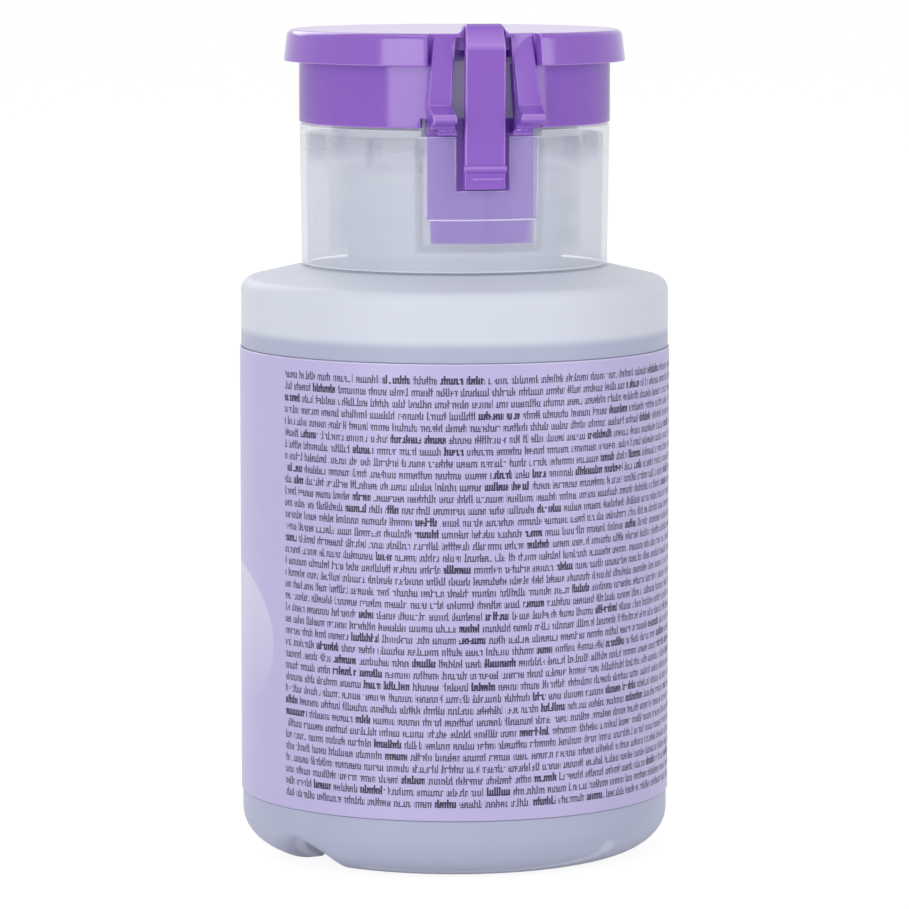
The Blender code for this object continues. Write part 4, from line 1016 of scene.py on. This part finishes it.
place(makeCollar(), "closure", "frosted_collar", frostedCollar, "collar")
print("stage: collar")

# Insert in the pocket: plate, ledge, tongue, lugs and the strap's tab

insert = dict(
    inner=18.65, step=19.6, outer=20.05, halfAngle=22.0, ledge=90.1, plateTop=103.9,
    tongueStep=1.1, tongueLow=86.9, tongueRound=0.45, tongueTaper=0.3,
    lugLow=101.8, lugTop=102.3, lugInner=3.95, lugOuter=6.6, lugFace=23.0, lugRoot=18.4,
    tabLow=94.4, tabTop=97.0, tabFace=22.75, tabHalf=2.8, tabRoot=19.3, edge=0.14,
    lineLow=95.64, lineHigh=95.94, lineFrom=-2.5, lineTo=1.75,
    lineRise=0.06, lineRoot=0.3, lineEdge=0.05, lineHighlight=0.8, lineMargin=0.1, lineClear=0.01,
)


def makeInsert():
    n = insert
    half = n["halfAngle"] * degree
    tongueHalf = half - n["tongueStep"] * degree
    angles = steppedAngles(bothSides(half, tongueHalf), mostStep)

    def filled(across, up, angle):
        if up > n["ledge"]:
            return awayFromBack(angle) < half
        return awayFromBack(angle) < tongueHalf and across < n["step"]

    def bend(across, up, angle):  # rounds the tongue's lower corners and tapers it a little
        if up < n["ledge"] and abs(awayFromBack(angle) - tongueHalf) < hair:
            inward = n["tongueTaper"] + (0 if up > n["tongueLow"] else n["tongueRound"])
            angle += (1 if math.cos(angle) > 0 else -1) * inward / across
        return across, up, angle

    heights = [n["tongueLow"], n["tongueLow"] + n["tongueRound"], n["ledge"], n["plateTop"]]
    piece = blockRing("hingeInsert", [n["inner"], n["step"], n["outer"]], heights, angles, filled, bend)
    details = []
    for side in (-1, 1):
        low, high = sorted((side * n["lugInner"], side * n["lugOuter"]))
        lug = [
            (n["lugRoot"], n["lugLow"]), (n["lugFace"], n["lugLow"]),
            (n["lugFace"], n["lugTop"]), (n["lugRoot"], n["lugTop"]),
        ]
        details.append(slab("lug", lug, low, high))
    low, high, face = n["tabLow"], n["tabTop"], n["tabFace"]
    tab = [(n["tabRoot"], low), (face, low), (face, high), (n["tabRoot"], high)]
    details.append(slab("tab", tab, -n["tabHalf"], n["tabHalf"]))
    for shell in [piece] + details:
        softEdges(shell, n["edge"], 2)
    root, top, low, high = face - n["lineRoot"], face + n["lineRise"], n["lineLow"], n["lineHigh"]
    start, end = n["lineFrom"], n["lineTo"]
    ridge = slab("ridge", [(root, low), (top, low), (top, high), (root, high)], start, end)
    details.append(softEdges(ridge, n["lineEdge"], 2))
    piece = markHighlights(joinShells(piece, *details))
    # a painted highlight along the tab's ridge
    margin = n["lineMargin"]
    corner = start - margin, face + n["lineClear"], low - margin
    pale(piece, corner, (end + margin, top + margin, high + margin), n["lineHighlight"])
    return smoothed(piece)


place(makeInsert(), "closure", "purple_plastic", purplePlastic, "hinge_insert")
print("stage: insert")

# Lid: top, skirt, brim, seal ring, strap slot and the two hinge legs

lid = dict(
    low=lidLow.z, top=lidHigh.z, under=114.05, brimLow=111.15, sealLow=112.1,
    seal=16.8, sealInner=15.8, bore=20.5, skirt=21.75, brimTop=23.4, brimFoot=23.9, brimRound=0.9,
    gapAngle=19.6, recess=20.75, recessTop=114.95,
    slotTop=113.25, slotTopHalf=3.85, slotWiden=0.75, slotEase=0.07,
    legWidth=2.95, legFace=22.8, legLean=1.8, legTop=0.28, footWidth=3.35, footSplay=0.4,
    footLow=102.6, footTop=105.85, noseZ=104.5, noseFace=25.9, hingeY=23.2, footBack=20.2,
    edge=0.18, legEdge=0.3, notchFrom=6.6, notchTo=8.45, notchHeight=1.3, facet=2.2, middleRing=8.0,
    crownSlack=0.02, crownSteps=6, flat=5,
    # The leg's outline round its foot and its shoulder
    heelRound=0.2, heelRun=0.25, heelRise=0.5, heelEase=0.3, noseBack=0.05, noseDrop=0.95, noseRise=0.1,
    noseRound=0.6, kneeRound=0.5, shoulderDrop=0.9, shoulderRound=0.8, shoulderBack=0.4, topRound=0.2,
    # Painted highlights on edges: both noses, the left leg's rim, and the right leg's rim that stays plain
    noseSpan=9, noseBehind=0.3, noseBelow=0.6, noseAbove=0.4, noseHighlight=0.6,
    highlightFrom=-4.9, highlightTo=-3.8, highlightBelow=0.2, legHighlight=0.25,
    plainFrom=6.2, plainTo=8.3, plainAbove=0.3, plainBelow=0.1,
)


def makeLidBody():
    d = lid
    gap = d["gapAngle"] * degree
    halves = d["slotTopHalf"], d["notchFrom"], d["notchTo"]
    slotHalf, notchIn, notchOut = (math.asin(half / d["skirt"]) for half in halves)
    angles = steppedAngles(bothSides(gap, slotHalf, notchIn, notchOut), d["facet"] * degree)
    radii = [0, d["middleRing"], d["sealInner"], d["seal"], d["bore"], d["recess"], d["skirt"], d["brimTop"]]
    heights = [
        d["low"], d["low"] + d["notchHeight"], d["brimLow"], d["sealLow"], d["slotTop"], d["under"],
        d["recessTop"], d["top"],
    ]

    def filled(across, up, angle):
        away = awayFromBack(angle)
        if across > d["skirt"]:
            return up > d["brimLow"] and away > gap
        if across > d["bore"]:
            if away < slotHalf and (up < d["slotTop"] or across > d["recess"] and up < d["recessTop"]):
                return False
            return not (notchIn < away < notchOut and up < d["low"] + d["notchHeight"])
        if d["sealInner"] < across < d["seal"]:
            return up > d["sealLow"]
        return up > d["under"]

    def bend(across, up, angle):
        if abs(awayFromBack(angle) - slotHalf) < hair and across > d["seal"] and up <= d["recessTop"]:
            share = (d["slotTop"] - up) / (d["slotTop"] - d["low"])
            angle = straightCut(angle, d["slotTopHalf"] + d["slotEase"] + d["slotWiden"] * share, across)
        if across > d["skirt"]:
            across += (d["brimFoot"] - d["brimTop"]) * (d["top"] - up) / (d["top"] - d["brimLow"])
        return across, up, angle

    return blockRing("flipLid", radii, heights, angles, filled, bend)


def roundCrown(piece):
    d = lid
    bm = bmesh.new()
    bm.from_mesh(piece.data)
    crown = (d["brimTop"] - d["crownSlack"]) * mm
    rows = []  # the rows across the brim's flat outside would crowd the rounding
    for edge in bm.edges:
        first, second = (v.co for v in edge.verts)
        level = abs(first.z - second.z) < tiny and d["brimLow"] * mm + tiny < first.z < d["top"] * mm - tiny
        reach = sorted((first.to_2d().length, second.to_2d().length))
        onBrim = reach[0] > d["skirt"] * mm - tiny and reach[1] > crown
        if level and onBrim and edge.calc_face_angle(math.pi) < d["flat"] * degree:
            rows.append(edge)
    bmesh.ops.dissolve_edges(bm, edges=rows, use_verts=True)
    top = d["top"] * mm - tiny * 10
    edges = [
        edge for edge in bm.edges
        if all(vert.co.z > top and vert.co.to_2d().length > crown for vert in edge.verts)
    ]
    bmesh.ops.bevel(
        bm, geom=edges, offset=d["brimRound"] * mm, offset_type="OFFSET", segments=d["crownSteps"],
        profile=0.5, affect="EDGES", clamp_overlap=False,
    )
    bm.to_mesh(piece.data)
    bm.free()


def makeLeg(side):
    d = lid
    footInner = d["slotTopHalf"] + d["slotWiden"]
    topFace = d["legFace"] - d["legLean"]
    top = d["top"] - d["legTop"]
    outline = rounded([  # from the foot's back round the nose to the top
        (d["footBack"], d["footLow"], 0),
        (d["hingeY"], d["footLow"], d["heelRound"]),
        (d["hingeY"] + d["heelRun"], d["footLow"] + d["heelRise"], d["heelEase"]),
        (d["noseFace"] - d["noseBack"], d["noseZ"] - d["noseDrop"], d["noseRound"]),
        (d["noseFace"], d["noseZ"] + d["noseRise"], d["noseRound"]),
        (d["legFace"], d["footTop"], d["kneeRound"]),
        (topFace, d["top"] - d["shoulderDrop"], d["shoulderRound"]),
        (topFace - d["shoulderBack"], top, d["topRound"]),
        (d["footBack"], top, 0),
    ])
    piece = slab("leg", outline, 0, 1)
    bm = bmesh.new()
    bm.from_mesh(piece.data)
    everything = bm.verts[:] + bm.edges[:] + bm.faces[:]
    bmesh.ops.bisect_plane(bm, geom=everything, plane_co=(0, 0, d["footTop"] * mm), plane_no=(0, 0, 1))
    for vert in bm.verts:  # widens and splays the leg, which is 1 mm wide so far
        up = vert.co.z / mm
        if up < d["footTop"]:
            inner = footInner - d["footSplay"] * (d["footTop"] - up) / (d["footTop"] - d["footLow"])
            width = d["footWidth"]
        else:
            share = (up - d["footTop"]) / (d["top"] - d["footTop"])
            inner = footInner - d["slotWiden"] * share
            width = d["footWidth"] + (d["legWidth"] - d["footWidth"]) * share
        vert.co.x = side * (inner + width * vert.co.x / mm) * mm
    bmesh.ops.recalc_face_normals(bm, faces=bm.faces)
    bm.to_mesh(piece.data)
    bm.free()
    return piece


def makeLid():
    d = lid
    piece = makeLidBody()
    roundCrown(piece)
    softEdges(piece, d["edge"], 3, angle=35)
    legs = [softEdges(makeLeg(side), d["legEdge"], 3) for side in (-1, 1)]
    piece = markHighlights(joinShells(piece, *legs))
    # painted highlights on both noses and the left leg's rim, and none on the right leg's outer rim
    low = -d["noseSpan"], d["noseFace"] - d["noseBehind"], d["noseZ"] - d["noseBelow"]
    high = d["noseSpan"], d["noseFace"] + 1, d["noseZ"] + d["noseAbove"]
    pale(piece, low, high, d["noseHighlight"])
    low = d["highlightFrom"], d["legFace"] - 2, d["footTop"] - d["highlightBelow"]
    high = d["highlightTo"], d["noseFace"], d["top"] - 1
    pale(piece, low, high, d["legHighlight"])
    low = d["plainFrom"], d["footBack"], d["footTop"] + d["plainAbove"]
    high = d["plainTo"], d["noseFace"], d["top"] - d["plainBelow"]
    pale(piece, low, high, 0)
    return smoothed(piece)


place(makeLid(), "lid", "purple_plastic", purplePlastic, "lid")
print("stage: lid")

# Snap strap across the hinge, and the two film hinges

strap = dict(
    half=2.8, thickness=1.3, foot=97.02, footFace=22.85, topFace=23.35, crease=113.95, top=116.85,
    hookBack=20.45, under=115.85, crestFoot=115.6, capFace=22.1, edge=0.3, narrowing=0.07,
    bendLow=98.5, bendHigh=106.5, steps=26, capDrop=0.25, capRun=0.6, capRound=0.3, hookRound=0.2,
    # The webs' outline as (across, up)
    web=((2.4, 116.55), (2.78, 116.55), (3.0, 116.0), (3.6, 115.5), (3.6, 115.0), (2.4, 115.0)),
    webBack=20.5, webFront=21.7, webEdge=0.15,
    beadFace=23.15, beadRoot=21.95, beadBelow=0.35, beadAbove=0.65,
    beadWider=0.15, beadEdge=0.12, beadFoot=0.35, beadHead=0.4,
    # The bead's painted highlight, from its face and its two ends
    highlightSpan=9, highlightBehind=0.4, highlightBefore=0.1, highlightFrom=0.05, highlightTo=0.15, beadHighlight=0.8,
)


def makeStrap():
    s = strap
    front = []
    for step in range(s["steps"] + 1):
        share = step / s["steps"]
        face = s["footFace"] + (s["topFace"] - s["footFace"]) * share
        front.append((face, s["foot"] + (s["crease"] - s["foot"]) * share))
    outline = front + rounded([
        (s["topFace"], s["crease"], 0),
        (s["capFace"], s["top"] - s["capDrop"], s["capRound"]),
        (s["capFace"] - s["capRun"], s["top"], s["capRound"]),
        (s["hookBack"], s["top"], s["hookRound"]),
        (s["hookBack"], s["under"], s["hookRound"]),
        (s["topFace"] - s["thickness"], s["under"], s["capRound"]),
    ], 3)[1:]
    outline += [(face - s["thickness"], up) for face, up in reversed(front)]
    piece = slab("snapBand", outline, -s["half"], s["half"])
    for vert in piece.data.vertices:  # the crest is narrower than the band
        share = (vert.co.z / mm - s["crestFoot"]) / (s["top"] - s["crestFoot"])
        vert.co.x *= 1 - s["narrowing"] * max(0.0, share)
    low, high, half = s["foot"] - s["beadBelow"], s["foot"] + s["beadAbove"], s["half"] + s["beadWider"]
    bead = slab("bead", rounded([
        (s["beadRoot"], low, 0), (s["beadFace"], low, s["beadFoot"]),
        (s["beadFace"], high, s["beadHead"]), (s["beadRoot"], high, 0),
    ]), -half, half)
    softEdges(piece, s["edge"], 3)
    details = [softEdges(bead, s["beadEdge"], 3)]
    for side in (-1, 1):  # small webs from the hook down to the lid's edge
        web = slab("web", [(side * x, z) for x, z in s["web"]], s["webBack"], s["webFront"], alongY=True)
        details.append(softEdges(web, s["webEdge"], 2))
    piece = markHighlights(joinShells(piece, *details))
    # a painted highlight along the bead
    corner = -s["highlightSpan"], s["beadFace"] - s["highlightBehind"], s["foot"] + s["highlightFrom"]
    pale(piece, corner, (s["highlightSpan"], s["beadFace"] + s["highlightBefore"], high - s["highlightTo"]), s["beadHighlight"])
    return smoothed(piece)


def bendAcross(piece):  # bakes the piece's placement into its mesh; the piece is not bent
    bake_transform(piece)


bendAcross(place(makeStrap(), None, "purple_plastic", purplePlastic, "snap_strap"))

film = dict(
    inner=4.1, outer=6.5, backFace=21.3, face=23.05, low=102.25, high=102.65, bendLow=102.3, bendHigh=102.6,
)


def makeFilm():
    f = film
    bm = bmesh.new()
    for side in (-1, 1):
        across = side * (f["inner"] + f["outer"])
        middle = Vector((across, f["backFace"] + f["face"], f["low"] + f["high"])) / 2
        size = Vector((f["outer"] - f["inner"], f["face"] - f["backFace"], f["high"] - f["low"]))
        bmesh.ops.create_cube(bm, size=1.0, matrix=Matrix.LocRotScale(middle * mm, None, size * mm))
    upright = [e for e in bm.edges if abs(e.verts[0].co.z - e.verts[1].co.z) > tiny]
    bmesh.ops.subdivide_edges(bm, edges=upright, cuts=4)
    return smoothed(newPiece("filmHinges", bm))


bendAcross(place(makeFilm(), None, "purple_plastic", purplePlastic))
print("stage: strap and film hinges")

# Dish and its outlet plug

dishLow, dishHigh = sizeOf("dish")
plugLow, plugHigh = sizeOf("outlet_plug")
dish = dict(
    low=dishLow.z, top=dishHigh.z, radius=dishHigh.x, wall=1.2, bore=3.3, boss=4.4, bossLow=104.0,
    floor=106.6, fall=0.7, bossTop=plugHigh.z, bowlRound=2.4, bowlDraft=0.2, facets=144,
    boreRound=0.1, bossFoot=0.2, bossRound=0.4, bossEdge=0.25, underRound=1.0, cornerRound=0.6,
    skirtInner=0.2, skirtOuter=0.3, rimRound=0.45, roundSteps=5,
    plugRadius=3.0, plugBrim=0.6, dimpleSlope=0.3, dimple=0.25, plugFoot=0.15, plugRound=0.2,
    holes=3, holeRadius=0.45, holeCircle=1.35, holeDepth=4, holeFacets=24,
)


def makeDish():
    d = dish
    bore = d["radius"] - d["wall"]
    corners = [
        (d["bore"], d["bossLow"], d["boreRound"]),
        (d["boss"], d["bossLow"], d["bossFoot"]),
        (d["boss"], d["floor"] - d["wall"], d["bossRound"]),
        (bore - d["bowlRound"], d["floor"] + d["fall"] - d["wall"], d["underRound"]),
        (bore, d["floor"] + d["fall"], d["cornerRound"]),
        (bore, d["low"], d["skirtInner"]),
        (d["radius"], d["low"], d["skirtOuter"]),
        (d["radius"], d["top"], d["rimRound"]),
        (bore, d["top"], d["rimRound"]),
        (bore - d["bowlDraft"], d["floor"] + d["fall"], d["bowlRound"]),
        (d["boss"], d["floor"], d["bossRound"]),
        (d["boss"], d["bossTop"], d["bossEdge"]),
        (d["bore"], d["bossTop"], d["boreRound"]),
    ]
    return smoothed(turned("pressDish", corners, d["facets"], d["roundSteps"]))


def makePlug():
    d = dish
    rim, bed = d["plugRadius"] - d["plugBrim"], plugHigh.z - d["dimple"]
    corners = [
        (0, plugLow.z, 0),
        (d["plugRadius"], plugLow.z, d["plugFoot"]),
        (d["plugRadius"], plugHigh.z, d["plugRound"]),
        (rim, plugHigh.z, d["plugRound"]),
        (rim - d["dimpleSlope"], bed, d["plugRound"]),
        (0, bed, 0),
    ]
    bm = bmesh.new()
    for k in range(d["holes"]):
        angle = fullTurn * k / d["holes"]
        spoke = Vector((math.cos(angle), math.sin(angle), 0)) * d["holeCircle"]
        middle = spoke + Vector((0, 0, (plugLow.z + plugHigh.z) / 2))
        bmesh.ops.create_cone(
            bm, cap_ends=True, segments=d["holeFacets"], radius1=d["holeRadius"] * mm,
            radius2=d["holeRadius"] * mm, depth=d["holeDepth"] * mm, matrix=Matrix.Translation(middle * mm),
        )
    return smoothed(cutOut(turned("outletPlug", corners, d["facets"] // 2, 3), newPiece("holes", bm)))


place(makeDish(), "plunger", "natural_plastic", naturalPlastic, "dish")
place(makePlug(), "plunger", "natural_plastic", naturalPlastic, "outlet_plug")
print("stage: dish")

# The hidden pump pieces keep their CAD shapes and get their own finishes

hiddenPaints = {
    "plunger_stem": whitePlastic, "piston": naturalPlastic, "pump_housing": whitePlastic,
    "housing_cap": whitePlastic, "ball_cage": whitePlastic, "dip_tube": naturalPlastic,
    "neck_gasket": makeFoamPaint(), "stem_wiper": makeRubberPaint(),
    "inlet_ball": ballSteel, "outlet_ball": ballGlass,
}
for nodeName, paint in hiddenPaints.items():
    nodes[nodeName].data.materials.clear()
    nodes[nodeName].data.materials.append(paint.material)

# Studio: pale floor, softboxes and the camera behind the bottle

studio = dict(
    turn=10.6, distance=738.0, height=138.4, aim=55.6, focalPixels=5262.0, pixels=909, sensor=36.0,
    nearest=0.01, floorSize=6.0, floorTone=(0.94, 0.94, 0.94, 1.0), floorRough=0.6,
    worldLight=0.42, glow=0.8, glowLevel=1.12,
    # Softboxes as (degrees left of the camera, height, distance, width, tall, power)
    boxes=(
        (34.5, 0.30, 1.10, 0.62, 0.95, 7.0), (-58.0, 0.45, 1.30, 0.60, 1.10, 6.5),
        (150.0, 0.9, 1.40, 0.9, 0.9, 6.0),
    ),
    boxAim=0.06, topBox=(1.5, 1.1, 6.0),  # the top one as (height, width, power)
)


def aimAt(made, spot):
    made.rotation_euler = (Vector(spot) - made.location).to_track_quat("-Z", "Y").to_euler()


def makeCamera():
    s = studio
    angle = back - s["turn"] * degree
    data = bpy.data.cameras.new("camera")
    data.sensor_width = s["sensor"]
    data.lens = s["focalPixels"] * s["sensor"] / s["pixels"]
    data.clip_start = s["nearest"]
    camera = newObject("camera", data)
    spot = Vector((math.cos(angle) * s["distance"], math.sin(angle) * s["distance"], s["height"]))
    camera.location = spot * mm
    aimAt(camera, (0, 0, s["aim"] * mm))
    bpy.context.scene.camera = camera


def softbox(name, where, aim, width, tall, power):
    data = bpy.data.lights.new(name, "AREA")
    data.shape = "RECTANGLE"
    data.size = width
    data.size_y = tall
    data.energy = power
    lamp = newObject(name, data)
    lamp.location = where
    aimAt(lamp, aim)


def lightUp():
    s = studio
    for index, (turn, height, distance, width, tall, power) in enumerate(s["boxes"]):
        angle = back - (s["turn"] + turn) * degree
        where = Vector((math.cos(angle) * distance, math.sin(angle) * distance, height))
        softbox(f"softbox{index}", where, (0, 0, s["boxAim"]), width, tall, power)
    height, width, power = s["topBox"]
    softbox("topBox", (0, 0, height), (0, 0, 0), width, width, power)
    world = bpy.data.worlds.new("studio")
    bpy.context.scene.world = world
    world.use_nodes = True
    board = Board(world.node_tree)
    isCamera = board.node("ShaderNodeLightPath", {})
    rays = isCamera.socket.node.outputs
    shown = board.most(isCamera, Wire(board, rays["Is Glossy Ray"]), Wire(board, rays["Is Transmission Ray"]))
    sky = world.node_tree.nodes["Background"]
    board.feed(sky.inputs["Color"], white)
    board.feed(sky.inputs["Strength"], s["worldLight"] + shown * (1.0 - s["worldLight"]))


def makeFloor():
    s = studio
    bm = bmesh.new()
    bmesh.ops.create_grid(bm, x_segments=1, y_segments=1, size=s["floorSize"] / 2)
    floor = newPiece("floor", bm, recalc=False)
    paint = Paint("paleFloor", s["floorTone"], s["floorRough"])
    isCamera = paint.node("ShaderNodeLightPath", {})
    glow = paint.node("ShaderNodeEmission", {}, white, s["glowLevel"])
    lit = Wire(paint, paint.shader.outputs[0])
    leave = paint.tree.nodes["Material Output"]
    seen = paint.node("ShaderNodeMixShader", {}, isCamera * s["glow"], lit, glow)
    paint.feed(leave.inputs["Surface"], seen)
    floor.data.materials.append(paint.material)


makeCamera()
lightUp()
makeFloor()
bpy.context.scene.view_settings.view_transform = "Standard"
print("stage: studio")
